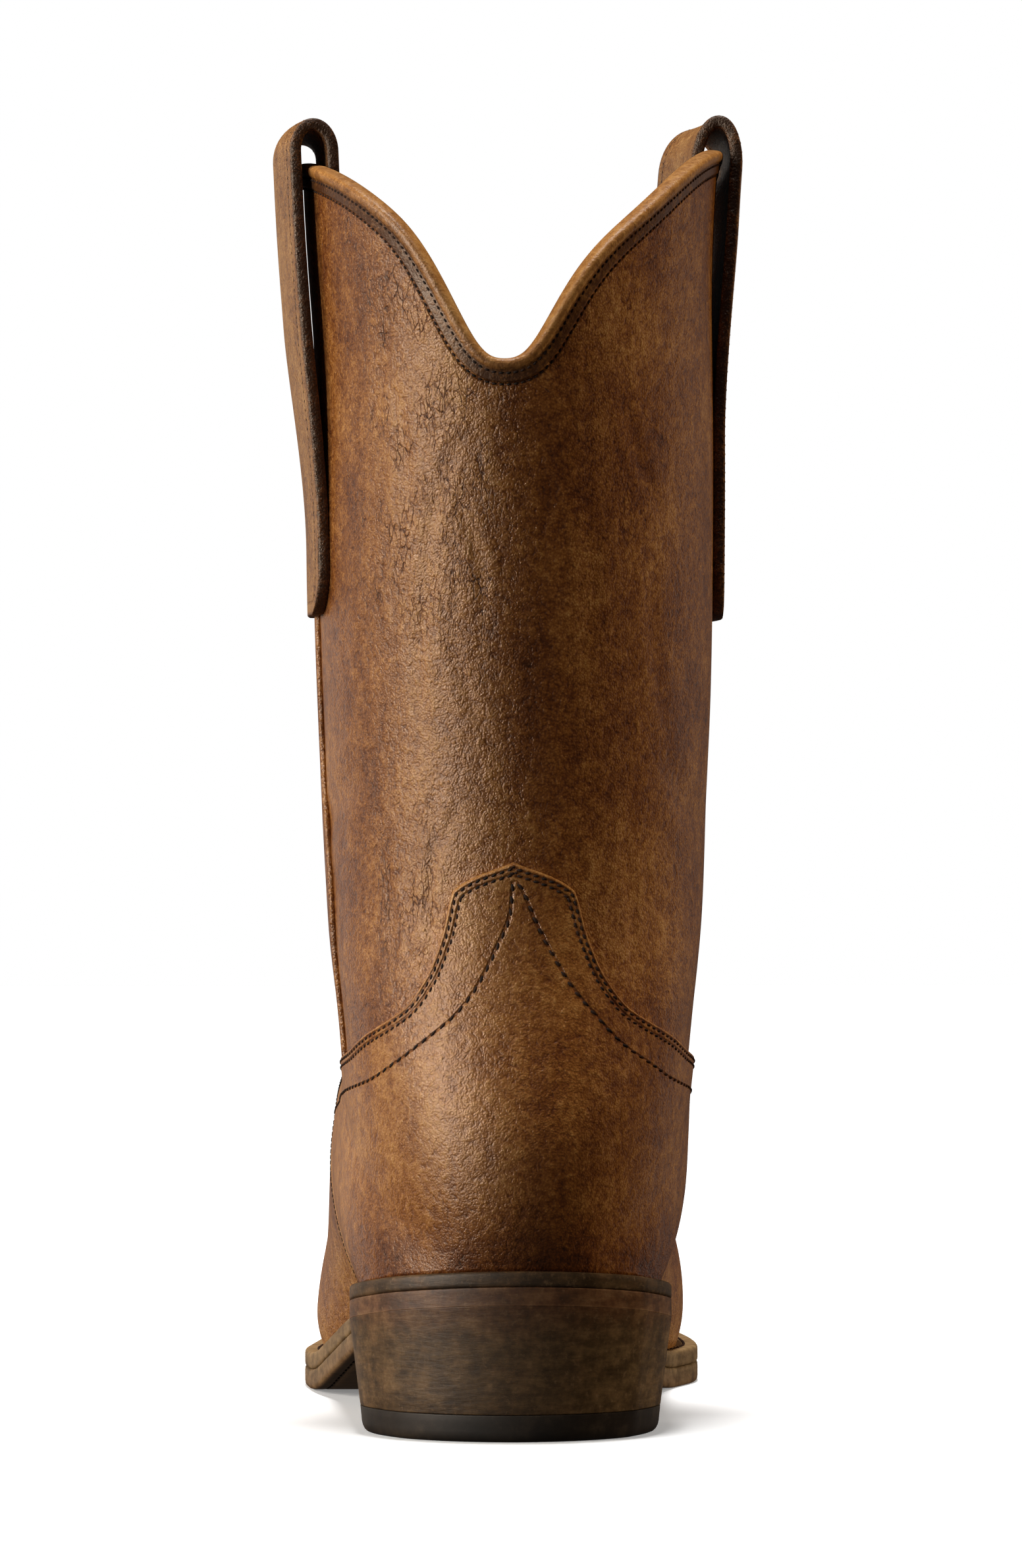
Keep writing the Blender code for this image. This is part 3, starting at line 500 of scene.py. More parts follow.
def add(tree, kind, links=None, **settings):
    """Adds a shader node with its settings, and sets or links its inputs."""
    made = tree.nodes.new("ShaderNode" + kind)
    for name, value in settings.items():
        setattr(made, name, value)
    for socket, source in (links or {}).items():
        if isinstance(source, bpy.types.NodeSocket):
            tree.links.new(source, made.inputs[socket])
        else:
            made.inputs[socket].default_value = source
    return made


def calc(tree, operation, *values):
    """Result of a Math node for numbers and sockets."""
    return add(tree, "Math", dict(enumerate(values)), operation=operation).outputs[0]


def noise(tree, at, size, detail, rough=0.5, distortion=0.0):
    """A noise with lumps of a size, in the unit of the coordinates."""
    return add(tree, "TexNoise", {
        "Vector": at, "Scale": 1.0 / size, "Detail": detail, "Roughness": rough, "Distortion": distortion})


def swayed(tree, at, size, detail, far):
    """Coordinates pushed about by a noise of a size, up to some distance."""
    push = noise(tree, at, size, detail, 0.6).outputs["Color"]
    push = add(tree, "VectorMath", {0: push, "Scale": far}, operation="SCALE").outputs[0]
    return add(tree, "VectorMath", {0: at, 1: push}, operation="ADD").outputs[0]


def fade(tree, value, low, high, first, last):
    """Smooth step of a value: first at low and last at high."""
    return add(tree, "MapRange", {
        "Value": value, "From Min": low, "From Max": high, "To Min": first, "To Max": last},
        interpolation_type="SMOOTHSTEP").outputs[0]


def dyed(tree, level, stops):
    """Colour that a level picks on a ramp of pairs of place and hex colour."""
    ramp = add(tree, "ValToRGB", {"Fac": level})
    elements = ramp.color_ramp.elements
    while len(elements) < len(stops):
        elements.new(0.5)
    for element, (place, code) in zip(elements, stops):
        element.position = place
        element.color = linear(code)
    return ramp.outputs["Color"]


def material(name):
    """A new material, its node tree and its shader."""
    made = bpy.data.materials.new(name)
    made.use_nodes = True
    return made, made.node_tree, made.node_tree.nodes["Principled BSDF"]


# Waxed pull-up cowhide: the dye is dark in the pores and rubbed off the high spots, which gives a cloudy
# brown patina with golden flecks, a fine pebble grain, thin drawn cracks and a wax gloss broken by the grain.
# A cloud is its size in millimetres, detail and share of the tone; a sway is size, detail and distance.
LEATHER_TONES = (
    (0.22, "#331505"), (0.38, "#60300e"), (0.50, "#7e4919"), (0.60, "#99622b"), (0.76, "#b98448"))
PATCH = (38.0, 3.0, 0.36)
MOTTLE = (9.0, 6.0, 0.34)
SMUDGE = (3.4, 5.0, 0.36)
FLECK = (1.3, 4.0, 0.46)
STREAK = 0.4
SMUDGE_DEEP = 0.55
FLECK_DEEP = 0.28
FLECK_ROUGH = 0.25
PEBBLE_MM = 0.52
PEBBLE_SWAY = (1.3, 2.0, 0.6)
PEBBLE_DEEP = 0.13
PORE_DARK = 0.26
PORE_EVEN = 0.115
CRACK_MM = 1.6
CRACK_SWAY = (3.5, 3.0, 3.2)
CRACK_WIDE = 0.09
CRACK_PATCH_MM = 6.0
CRACK_PATCH_RANGE = (0.42, 0.68)
CRACK_CRAZED = 1.4
CRACK_ELSEWHERE = 0.35
CRACK_DEEP = 0.1
CRACK_DARK = 0.16
CRACK_ROUGH = 0.15
# Stitch grooves: depth, width and the painted shade that darkens them.
GROOVE_DEEP = 0.22
GROOVE_WIDE = 0.55
GROOVE_SHADE = 0.1


def cowhide(name, tones, grooves=(), grain=1.0, cracks=1.0, gloss=0.37):
    """Brown leather; grooves are pairs of a mark and its value where a row of stitches pulls the hide in.

    The tone is a sum of noises from wide patches down to flecks, moved by the points' mark of wear and of
    painted light and shade, and picks the colour on a ramp. Cracks are the borders of swayed cells, in
    patches and where the mark crazed is high. The height is the sum of pebbles, smudges, flecks, cracks and
    grooves, all in millimetres, and each groove is darkened with painted shade.
    """
    hide, tree, shader = material(name)
    place = add(tree, "TexCoord").outputs["Object"]
    at = add(tree, "Mapping", {"Vector": place, "Scale": (1000.0, 1000.0, 1000.0)}).outputs["Vector"]
    drawn = add(tree, "Mapping", {
        "Vector": place, "Scale": (1000.0, 1000.0, 1000.0 * STREAK)}).outputs["Vector"]
    # The points' mark holds wear, and on some pieces painted light and shade.
    tone = add(tree, "Attribute", attribute_name="wear_and_painted_light").outputs["Fac"]
    clouds = []
    for spot, (size, detail, share) in ((at, PATCH), (drawn, MOTTLE), (at, SMUDGE), (at, FLECK)):
        clouds.append(noise(tree, spot, size, detail, 0.62, 0.4).outputs["Fac"])
        tone = calc(tree, "MULTIPLY_ADD", clouds[-1], share, tone)
    smudge, fleck = clouds[2:]
    tone = calc(tree, "SUBTRACT", tone, 0.5 * (PATCH[2] + MOTTLE[2] + SMUDGE[2] + FLECK[2]) - 0.5)
    crack = add(tree, "TexVoronoi", {
        "Vector": swayed(tree, drawn, *CRACK_SWAY), "Scale": 1.0 / CRACK_MM}, feature="DISTANCE_TO_EDGE")
    crack = fade(tree, crack.outputs["Distance"], 0.0, CRACK_WIDE, 1.0, 0.0)
    patch = noise(tree, drawn, CRACK_PATCH_MM, 5.0, 0.7).outputs["Fac"]
    crack = calc(tree, "MULTIPLY", crack, fade(tree, patch, *CRACK_PATCH_RANGE, 0.0, cracks))
    crazed_mark = add(tree, "Attribute", attribute_name="crazed").outputs["Fac"]
    crazed_mark = calc(tree, "MULTIPLY_ADD", crazed_mark, CRACK_CRAZED, CRACK_ELSEWHERE)
    crack = calc(tree, "MULTIPLY", crack, crazed_mark)
    tone = calc(tree, "MULTIPLY_ADD", crack, -CRACK_DARK, tone)
    pore = add(tree, "TexVoronoi", {
        "Vector": swayed(tree, at, *PEBBLE_SWAY), "Scale": 1.0 / PEBBLE_MM, "Smoothness": 0.5},
        feature="SMOOTH_F1").outputs["Distance"]
    tone = calc(tree, "MULTIPLY_ADD", pore, -PORE_DARK * grain, tone)
    tone = calc(tree, "ADD", tone, PORE_EVEN * grain)
    height = calc(tree, "MULTIPLY", pore, -PEBBLE_DEEP * grain)
    for lump, deep in ((smudge, SMUDGE_DEEP * grain), (fleck, FLECK_DEEP * grain), (crack, -CRACK_DEEP)):
        height = calc(tree, "MULTIPLY_ADD", lump, deep, height)
    for mark, value in grooves:
        line = add(tree, "Attribute", attribute_name=mark).outputs["Fac"]
        line = calc(tree, "ABSOLUTE", calc(tree, "SUBTRACT", line, value))
        line = fade(tree, line, 0.0, GROOVE_WIDE, 1.0, 0.0)
        height = calc(tree, "MULTIPLY_ADD", line, -GROOVE_DEEP, height)
        # Painted shade in the groove.
        tone = calc(tree, "MULTIPLY_ADD", line, -GROOVE_SHADE, tone)
    rough = calc(tree, "MULTIPLY_ADD", fleck, FLECK_ROUGH, gloss - FLECK_ROUGH / 2.0)
    rough = calc(tree, "MULTIPLY_ADD", crack, CRACK_ROUGH, rough)
    bump = add(tree, "Bump", {"Strength": 1.0, "Distance": MM, "Height": height}).outputs["Normal"]
    tree.links.new(dyed(tree, tone, tones), shader.inputs["Base Color"])
    tree.links.new(rough, shader.inputs["Roughness"])
    tree.links.new(bump, shader.inputs["Normal"])
    shader.inputs["Specular IOR Level"].default_value = 0.38
    shader.inputs["Specular Tint"].default_value = linear("#ffeedd")
    return hide


SOIL_MM = 45.0


def natural_leather(name, dark, pale, grain):
    """Vegetable tanned leather without a finish: pale, matt, soiled by the foot in wide soft patches."""
    hide, tree, shader = material(name)
    place = add(tree, "TexCoord").outputs["Object"]
    soil = noise(tree, place, SOIL_MM * MM, 5.0).outputs["Fac"]
    fine = noise(tree, place, grain * MM, 3.0).outputs["Fac"]
    bump = add(tree, "Bump", {"Height": fine, "Strength": 0.5, "Distance": 0.1 * MM}).outputs["Normal"]
    tree.links.new(dyed(tree, soil, ((0.3, dark), (0.7, pale))), shader.inputs["Base Color"])
    tree.links.new(bump, shader.inputs["Normal"])
    shader.inputs["Roughness"].default_value = 0.7
    return hide


def upper_grid(shaft_rows):
    """Sections and angles of the upper's grid: the foot's, crowded at toe tip and heel, then the shaft's."""
    foot = np.linspace(0.0, 1.0, UPPER_FOOT_ROWS + 1)
    crowded = 0.5 - 0.5 * np.cos(math.pi * foot)
    foot = (UPPER_CROWD * crowded + (1.0 - UPPER_CROWD) * foot) * HEEL_ROW
    shaft = np.linspace(HEEL_ROW, LAST_ROW, shaft_rows + 1)
    angle = shaft_angle(np.linspace(0.0, 1.0, UPPER_COLUMNS))
    return squeezed(np.concatenate((foot, shaft[1:]))[:, None], angle[None]), angle[None]


def arc_of(angle):
    """Rough distance round the shaft from the back line, negative on the lateral side."""
    return np.sign(angle) * (math.pi - np.abs(angle)) * ARC_RADIUS


def painted_light_band(arc):
    """Painted light and shade round the boot: a paler band where the lights at the left fall, outward of the
    back line, and painted shade just inward of it, where the light falls off.
    """
    pale = ease(arc, -46.0, -26.0) * (1.0 - ease(arc, -10.0, 4.0))
    dark = ease(arc, -6.0, 4.0) * (1.0 - ease(arc, 16.0, 34.0))
    return BAND_LIT * pale - BAND_SHADE * dark


def crazed(arc, z):
    """How far the finish is crazed: most below the back dip on the outer side, some over the counter."""
    below_dip = ease(arc, -58.0, -40.0) * (1.0 - ease(arc, -10.0, 4.0)) * ease(z, 168.0, 200.0)
    over_heel = ease(arc, -50.0, -42.0) * (1.0 - ease(arc, -24.0, -14.0)) * (1.0 - ease(z, 132.0, 160.0))
    inward = CRAZED_INWARD * ease(arc, 18.0, 28.0) * (1.0 - ease(arc, 44.0, 56.0)) * ease(z, 190.0, 220.0)
    return np.maximum(np.maximum(below_dip, over_heel), inward)


outer_t, angles = upper_grid(UPPER_SHAFT_ROWS)
angles_outer = np.broadcast_to(angles, outer_t.shape)
skin = tube(outer_t, angles_outer)
relief = creases(arc_of(angles_outer), skin[..., 2], SHAFT_CREASES)
outer = skin + tube_normal(outer_t, angles_outer) * relief[..., None]
inner_t = upper_grid(LINING_SHAFT_ROWS)[0]
inner = tube_off(inner_t, np.broadcast_to(angles, inner_t.shape), np.full(inner_t.shape, -WALL))
number = np.arange(outer.shape[0] * UPPER_COLUMNS).reshape(-1, UPPER_COLUMNS)
inside = number.size + np.arange(inner.shape[0] * UPPER_COLUMNS).reshape(-1, UPPER_COLUMNS)
foot_rows = np.arange(UPPER_FOOT_ROWS + 1)
outside_faces = cells(number)
inside_faces = np.concatenate((
    cells(inside),
    cells(np.stack((number[-1], inside[-1]))),
    cells(np.stack((number[0], inside[0]))),
    cells(np.stack((number[foot_rows, 0], inside[foot_rows, 0]))),
    cells(np.stack((number[foot_rows, -1], inside[foot_rows, -1]))),
))
# Painted light and shade: the band round the boot, put into the tone of the hide.
painted_band_tone = painted_light_band(arc_of(angles_outer))
crazing = crazed(arc_of(angles_outer), skin[..., 2])
collar_angle = shaft_angle(np.linspace(0.0, 1.0, 5 * SAMPLES))
below_collar = nearest(np.concatenate((outer, inner)), collar_point(collar_angle))
upper = put_mesh(
    "upper_hide",
    np.concatenate((outer, inner)).reshape(-1, 3),
    np.concatenate((outside_faces, inside_faces)),
    {"collar_mm": below_collar, "wear_and_painted_light": np.concatenate((painted_band_tone.ravel(), np.zeros(inner_t.size))),
     "crazed": np.concatenate((crazing.ravel(), np.zeros(inner_t.size)))},
    np.repeat((0, 1), (len(outside_faces), len(inside_faces))))
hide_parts("upper")
upper.data.materials.append(cowhide(
    "waxed_cowhide", LEATHER_TONES, [("collar_mm", row) for row in COLLAR_ROWS]))
upper.data.materials.append(natural_leather("natural_lining_leather", "#8a6642", "#b08a60", 0.8))


# Vamp: the hide that covers the instep and forefoot, drawn over the last and sewn down along its rear edge.
# It is the same waxed cowhide, stretched smooth over the toe and creased where the foot bends.
OVERLAY_TOP = 1.5
OVERLAY_UNDER = -0.2
OVERLAY_ROUND = 0.8
VAMP_LIFT = -0.2
VAMP_GRID = (150, 221)
VAMP_CROWD = 1.8
VAMP_TOE_CROWD = 1.3
VAMP_STITCH_ROWS = (1.6, 3.2)
VAMP_STITCH = (1.9, 1.5, 0.27, 0.1)
VAMP_ROW_END = 0.985 * math.pi
VAMP_FLAT_EDGE = 12.0
VAMP_RUBBED = 0.12
VAMP_RUBBED_WIDE = 0.9
VAMP_DUST = 0.14
VAMP_DUST_HIGH = (2.0, 30.0)
VAMP_EDGE_COLUMNS = ("share", "station_y")
VAMP_EDGE = ((0.0, 58.0), (0.25, 70.0), (0.5, 84.0), (0.75, 97.0), (0.9, 104.0), (1.0, 101.0))
VAMP_ARC = 92.0
VAMP_CREASES = (
    (0.0, 197.0, 88.0, 34.0, 3.4, 0.55, 5.0),
    (-8.0, 186.0, 95.0, 30.0, 3.2, 0.45, 6.0),
    (9.0, 208.0, 84.0, 28.0, 3.2, 0.4, -4.0),
    (-44.0, 178.0, 62.0, 14.0, 2.6, 0.35, 2.0),
    (46.0, 180.0, 118.0, 14.0, 2.6, 0.35, 2.0),
    (-20.0, 168.0, 100.0, 18.0, 3.0, 0.3, 3.0),
    (24.0, 170.0, 82.0, 18.0, 3.0, 0.3, -3.0),
)


def locate(y, z):
    """Section t and size of the angle of the tube point at y, z of the side view, by halving on t."""
    low = np.zeros(np.shape(y))
    high = np.full(np.shape(y), LAST_ROW)
    for _ in range(HALVINGS):
        t = 0.5 * (low + high)
        base_y, base_z, ridge_y, ridge_z = section_line(t)
        ahead = (ridge_y - base_y) * (z - base_z) > (ridge_z - base_z) * (y - base_y)
        low = np.where(ahead, t, low)
        high = np.where(ahead, high, t)
    run_y, run_z = ridge_y - base_y, ridge_z - base_z
    along = ((y - base_y) * run_y + (z - base_z) * run_z) / (run_y ** 2 + run_z ** 2)
    along = np.clip(along, 0.0, 1.0)
    _, start, belly = section_form(t)
    low_cosine = (1.0 - along / belly) * np.cos(start)
    high_cosine = (belly - along) / (1.0 - belly)
    turn = np.arccos(np.clip(np.where(along < belly, low_cosine, high_cosine), -1.0, 1.0))
    return t, math.pi * np.clip((math.pi - turn) / (math.pi - start), 0.0, 1.0)


def vamp_edge(angle):
    """Section of the vamp's rear edge on the line of an angle."""
    share = 1.0 - np.abs(angle) / math.pi
    knots = column(VAMP_EDGE, VAMP_EDGE_COLUMNS, "share")
    station = monotone(share, knots, column(VAMP_EDGE, VAMP_EDGE_COLUMNS, "station_y"))
    t = np.linspace(0.0, HEEL_ROW, SAMPLES)
    return np.interp(-station, -row_value("base_y", t), t)


def lifted(t, lift):
    """Share of the angle that puts an overlay's lower edge at a height over the feather line."""
    base_y, base_z, ridge_y, ridge_z = section_line(t)
    _, start, belly = section_form(t)
    rise = lift / (np.hypot(ridge_y - base_y, ridge_z - base_z) * belly)
    turn = np.arccos(np.clip((1.0 - rise) * np.cos(start), -1.0, 1.0))
    return (math.pi - turn) / (math.pi - start)


def rounded(edge, radius):
    """Share of the full thickness at a distance from a cut edge: a quarter round, then flat."""
    return np.sqrt(1.0 - (1.0 - np.clip(edge / radius, 0.0, 1.0)) ** 2)


def slab(name, top, under, marks):
    """A closed sheet from the grids of its two faces, joined along their common border."""
    number = np.arange(top.shape[0] * top.shape[1]).reshape(top.shape[:2])
    size = number.size
    ring = np.concatenate((number[0], number[1:, -1], number[-1, -2::-1], number[-2:0:-1, 0]))
    rim = cells(np.stack((np.append(ring, ring[0]), np.append(ring, ring[0]) + size)))
    faces = np.concatenate((cells(number), cells(number) + size, rim))
    doubled = {mark: np.tile(values.ravel(), 2) for mark, values in marks.items()}
    return put_mesh(name, np.concatenate((top.reshape(-1, 3), under.reshape(-1, 3))), faces, doubled)


STITCH_STATIONS = (-1.0, -0.72, 0.0, 0.72, 1.0)
THREAD_SIDES = 6
THREAD_FLAT = 0.65
THREAD_RISE = 0.3


def run_along(line):
    """Distance of each point of a line from its start, along the line."""
    return np.concatenate(([0.0], np.cumsum(np.linalg.norm(np.diff(line, axis=0), axis=1))))


def points_at(place, run, line):
    """Points of a line, or directions on it, at some distances along it."""
    return np.stack([np.interp(place, run, line[:, i]) for i in range(3)], axis=-1)


def stitches(line, off, pitch, long, thick, slant=0.0):
    """Points and quads of a row of stitches on a line with its unit normals.

    Each stitch is a flattened thread that rises from its hole, lies on the hide and dips into the next hole:
    its radius and its height over the line are even functions of the share s from -1 to 1 along it. A stitch
    is given by pitch, length, thickness and slant.
    """
    run = run_along(line)
    count = int(run[-1] / pitch)
    s = np.array(STITCH_STATIONS)
    place = ((np.arange(count) + 0.5) * run[-1] / count)[:, None] + s[None] * long / 2.0
    spot = points_at(place, run, line)
    up = points_at(place, run, off)
    up /= np.linalg.norm(up, axis=-1, keepdims=True)
    ahead = np.gradient(spot, axis=1)
    ahead /= np.linalg.norm(ahead, axis=-1, keepdims=True)
    side = np.cross(up, ahead)
    spot = spot + up * (thick * (THREAD_RISE - s ** 2))[None, :, None]
    spot = spot + side * (s * long / 2.0 * math.tan(slant))[None, :, None]
    spin = np.arange(THREAD_SIDES)[:, None] * 2.0 * math.pi / THREAD_SIDES
    ring = np.cos(spin) * side[:, :, None] + THREAD_FLAT * np.sin(spin) * up[:, :, None]
    points = spot[:, :, None] + ring * (thick * np.sqrt(1.0 - s ** 4))[None, :, None, None]
    number = np.arange(count * len(s) * THREAD_SIDES).reshape(count, len(s), THREAD_SIDES)
    number = np.concatenate((number, number[:, :, :1]), axis=2)
    corners = (number[:, :-1, :-1], number[:, 1:, :-1], number[:, 1:, 1:], number[:, :-1, 1:])
    return points.reshape(-1, 3), np.stack(corners, axis=-1).reshape(-1, 4)


# Waxed polyester thread: almost black brown, dull, a little paler where the wax has worn off.
THREAD_TONES = ((0.35, "#190d06"), (0.65, "#30190b"))
THREAD_WEAR_MM = 6.0
thread, thread_tree, thread_shader = material("waxed_thread")
thread_place = add(thread_tree, "TexCoord").outputs["Object"]
thread_wear = noise(thread_tree, thread_place, THREAD_WEAR_MM * MM, 2.0).outputs["Fac"]
thread_tree.links.new(dyed(thread_tree, thread_wear, THREAD_TONES), thread_shader.inputs["Base Color"])
thread_shader.inputs["Roughness"].default_value = 0.8
thread_shader.inputs["Specular IOR Level"].default_value = 0.15


def sew(name, rows):
    """One object with all the stitches of some rows."""
    points, faces, start = [], [], 0
    for row_points, row_faces in rows:
        points.append(row_points)
        faces.append(row_faces + start)
        start += len(row_points)
    made = put_mesh(name, np.concatenate(points), np.concatenate(faces))
    made.data.materials.append(thread)


vamp_share = 1.0 - (1.0 - np.linspace(0.0, 1.0, VAMP_GRID[0])) ** VAMP_CROWD
vamp_angle = shaft_angle(np.linspace(0.0, 1.0, VAMP_GRID[1]))
vamp_t = vamp_share[:, None] ** VAMP_TOE_CROWD * vamp_edge(vamp_angle)[None]
vamp_at = vamp_angle[None] * lifted(vamp_t, VAMP_LIFT)
vamp_skin = tube(vamp_t, vamp_at)
vamp_off = tube_normal(vamp_t, vamp_at)
edge_angle = np.linspace(-math.pi, math.pi, 5 * SAMPLES)
vamp_line = tube(vamp_edge(edge_angle), edge_angle)
vamp_mm = nearest(vamp_skin, vamp_line)
vamp_relief = creases(vamp_at / math.pi * VAMP_ARC, vamp_skin[..., 1], VAMP_CREASES)
vamp_dust = VAMP_DUST * (1.0 - ease(vamp_skin[..., 2] - welt_top(vamp_skin[..., 1]), *VAMP_DUST_HIGH))
vamp_height = OVERLAY_UNDER + (OVERLAY_TOP - OVERLAY_UNDER) * rounded(vamp_mm, OVERLAY_ROUND)
vamp_height = vamp_height + vamp_relief * rounded(vamp_mm, VAMP_FLAT_EDGE)
vamp = slab(
    "vamp_hide",
    vamp_skin + vamp_off * vamp_height[..., None],
    vamp_skin + vamp_off * OVERLAY_UNDER,
    {"vamp_mm": vamp_mm, "wear_and_painted_light": np.where(vamp_mm < VAMP_RUBBED_WIDE, VAMP_RUBBED, 0.0) + vamp_dust})
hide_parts("vamp")
vamp.data.materials.append(cowhide(
    "waxed_cowhide_vamp", LEATHER_TONES, [("vamp_mm", row) for row in VAMP_STITCH_ROWS], cracks=0.7))


def vamp_row(distance):
    """Line on the vamp at a distance in front of its rear edge, with its normals."""
    angle = np.linspace(-VAMP_ROW_END, VAMP_ROW_END, 5 * SAMPLES)
    t = vamp_edge(angle)
    step = np.linalg.norm(tube(t, angle) - tube(t - SLOPE_STEP, angle), axis=-1) / SLOPE_STEP
    t = t - distance / step
    return tube_off(t, angle, np.full(len(t), OVERLAY_TOP)), tube_normal(t, angle)


vamp_rows = [stitches(*vamp_row(row), *VAMP_STITCH) for row in VAMP_STITCH_ROWS]
sew("vamp_thread", vamp_rows)


# Counter: the stiff heel piece, cut with a peak at the back, moulded round the heel and sewn over the upper.
# It is the same hide, stretched smooth by the last and darker towards the welt at the back; a painted
# highlight pales its left side and the painted band of light and shade runs over it.
COUNTER_SPREAD = 70.0
COUNTER_FRONT_GAP = 0.5
COUNTER_CROWD = 0.5
COUNTER_GRID = (96, 241)
COUNTER_EDGE_CROWD = 1.6
COUNTER_SETTLED = 40
COUNTER_FRONT_STEPS = 20
COUNTER_STITCH_ROWS = (1.3, 2.6)
COUNTER_STITCH = (2.0, 1.6, 0.3, 0.16)
# Darker towards the welt at the back: how much, and the heights over the welt where it fades out.
COUNTER_LOW_DARK = 0.22
COUNTER_LOW_DARK_HIGH = (1.0, 21.0)
COUNTER_RUBBED = 0.1
COUNTER_RUBBED_WIDE = (0.2, 1.0)
COUNTER_TONE = 0.02
COUNTER_BAND = 0.55
COUNTER_BAND_X = 2.0
# Painted highlight: the counter's left side is paler where the lights at the left fall on it.
COUNTER_LIT = 0.05
COUNTER_LIT_X = (-14.0, 0.0)
COUNTER_TOP_COLUMNS = ("turn", "z")
COUNTER_TOP = (
    (0.0, 134.2),
    (16.0, 127.6),
    (19.2, 117.0),
    (23.6, 107.5),
    (31.0, 100.0),
    (48.5, 93.6),
    (61.0, 90.0),
    (80.0, 87.5),
    (97.0, 85.0),
    (112.0, 80.0),
    (130.0, 69.0),
)
ARCH_STITCH = (2.8, 2.2, 0.34, 0.2)
ARCH_END_SHARE = 0.86
ARCH_END_GAP = math.radians(1.0)
ARCH_COLUMNS = ("turn", "z")
ARCH_LATERAL = (
    (0.3, 129.6),
    (1.1, 121.8),
    (3.9, 115.4),
    (6.6, 110.1),
    (11.3, 103.0),
    (16.5, 97.9),
    (24.0, 93.1),
    (33.1, 88.4),
    (48.0, 83.3),
    (81.0, 78.6),
    (120.0, 72.0),
)
ARCH_MEDIAL = (
    (0.8, 129.6),
    (2.5, 127.0),
    (5.5, 120.0),
    (8.8, 113.6),
    (13.8, 105.5),
    (20.4, 98.4),
    (28.1, 92.0),
    (37.5, 87.7),
    (51.6, 83.2),
    (81.0, 79.0),
    (120.0, 72.0),
)


def back_y(z):
    """Back line of the upper at a height."""
    t = np.linspace(HEEL_ROW, LAST_ROW, SAMPLES)
    return np.interp(z, row_value("base_z", t), row_value("base_y", t))


def counter_top(turn):
    """Height of the counter's top edge at a turn round the heel."""
    return monotone(
        np.degrees(turn), column(COUNTER_TOP, COUNTER_TOP_COLUMNS, "turn"),
        column(COUNTER_TOP, COUNTER_TOP_COLUMNS, "z"))


def heel_place(turn, z):
    """Side view place at a turn round the heel and a height."""
    return back_y(z) + COUNTER_SPREAD * (1.0 - np.cos(turn)), z


def counter_height(turn, share):
    """Height of a counter point: the share goes up from the feather line to the top edge."""
    low = feather_z(FEATHER_BACK_Y + COUNTER_SPREAD * (1.0 - np.cos(turn)))
    return low + (counter_top(turn) - low) * share


def counter_front(share):
    """Turn at which a counter row meets the vamp's rear edge."""
    angle = np.linspace(-math.pi, 0.0, SAMPLES)
    edge = tube(vamp_edge(angle), angle)
    turn = np.full(np.shape(share), math.pi / 2.0)
    for _ in range(COUNTER_FRONT_STEPS):
        z = counter_height(turn, share)
        room = np.interp(z, edge[:, 2], edge[:, 1]) - COUNTER_FRONT_GAP - back_y(z)
        turn = 0.5 * turn + 0.5 * np.arccos(np.clip(1.0 - room / COUNTER_SPREAD, -1.0, 1.0))
    return turn


def on_heel(turn, z, side, distance):
    """Point at a distance off the upper at a turn and height on one side, with its normal."""
    t, angle = locate(*heel_place(turn, z))
    angle = np.where(side < 0.0, -angle, angle)
    return tube_off(t, angle, distance), tube_normal(t, angle)


def settled(sheet, times):
    """A grid evened out along its columns: half a point's own place and a quarter of each neighbour's.

    The first and last rows stay. It gives the stiff counter one smooth wall down to the welt.
    """
    for _ in range(times):
        between = 0.25 * sheet[:-2] + 0.5 * sheet[1:-1] + 0.25 * sheet[2:]
        sheet = np.concatenate((sheet[:1], between, sheet[-1:]))
    return sheet


def sheet_normal(sheet, side):
    """Unit normals of a grid of points by differences along its rows and columns."""
    normal = np.cross(np.gradient(sheet, axis=0), np.gradient(sheet, axis=1))
    return side * normal / np.linalg.norm(normal, axis=-1, keepdims=True)


counter_side = np.linspace(-1.0, 1.0, COUNTER_GRID[1])[None]
counter_share = 1.0 - np.linspace(0.0, 1.0, COUNTER_GRID[0])[:, None] ** COUNTER_EDGE_CROWD
counter_turn = np.abs(COUNTER_CROWD * counter_side + (1.0 - COUNTER_CROWD) * counter_side ** 3)
counter_turn = counter_turn * counter_front(counter_share)
counter_z = counter_height(counter_turn, counter_share)
counter_skin = on_heel(
    counter_turn, counter_z, np.broadcast_to(counter_side, counter_z.shape), np.zeros(counter_z.shape))[0]
counter_skin = settled(counter_skin, COUNTER_SETTLED)
counter_off = sheet_normal(counter_skin, 1.0)


def sampled(line):
    """A line's points spread evenly, five to the millimetre or so."""
    run = run_along(line)
    return points_at(np.linspace(0.0, run[-1], int(5.0 * run[-1])), run, line)


def arch_height(table, turn):
    """Height of an inner row of stitches at a turn round the heel."""
    return monotone(np.degrees(turn), column(table, ARCH_COLUMNS, "turn"), column(table, ARCH_COLUMNS, "z"))


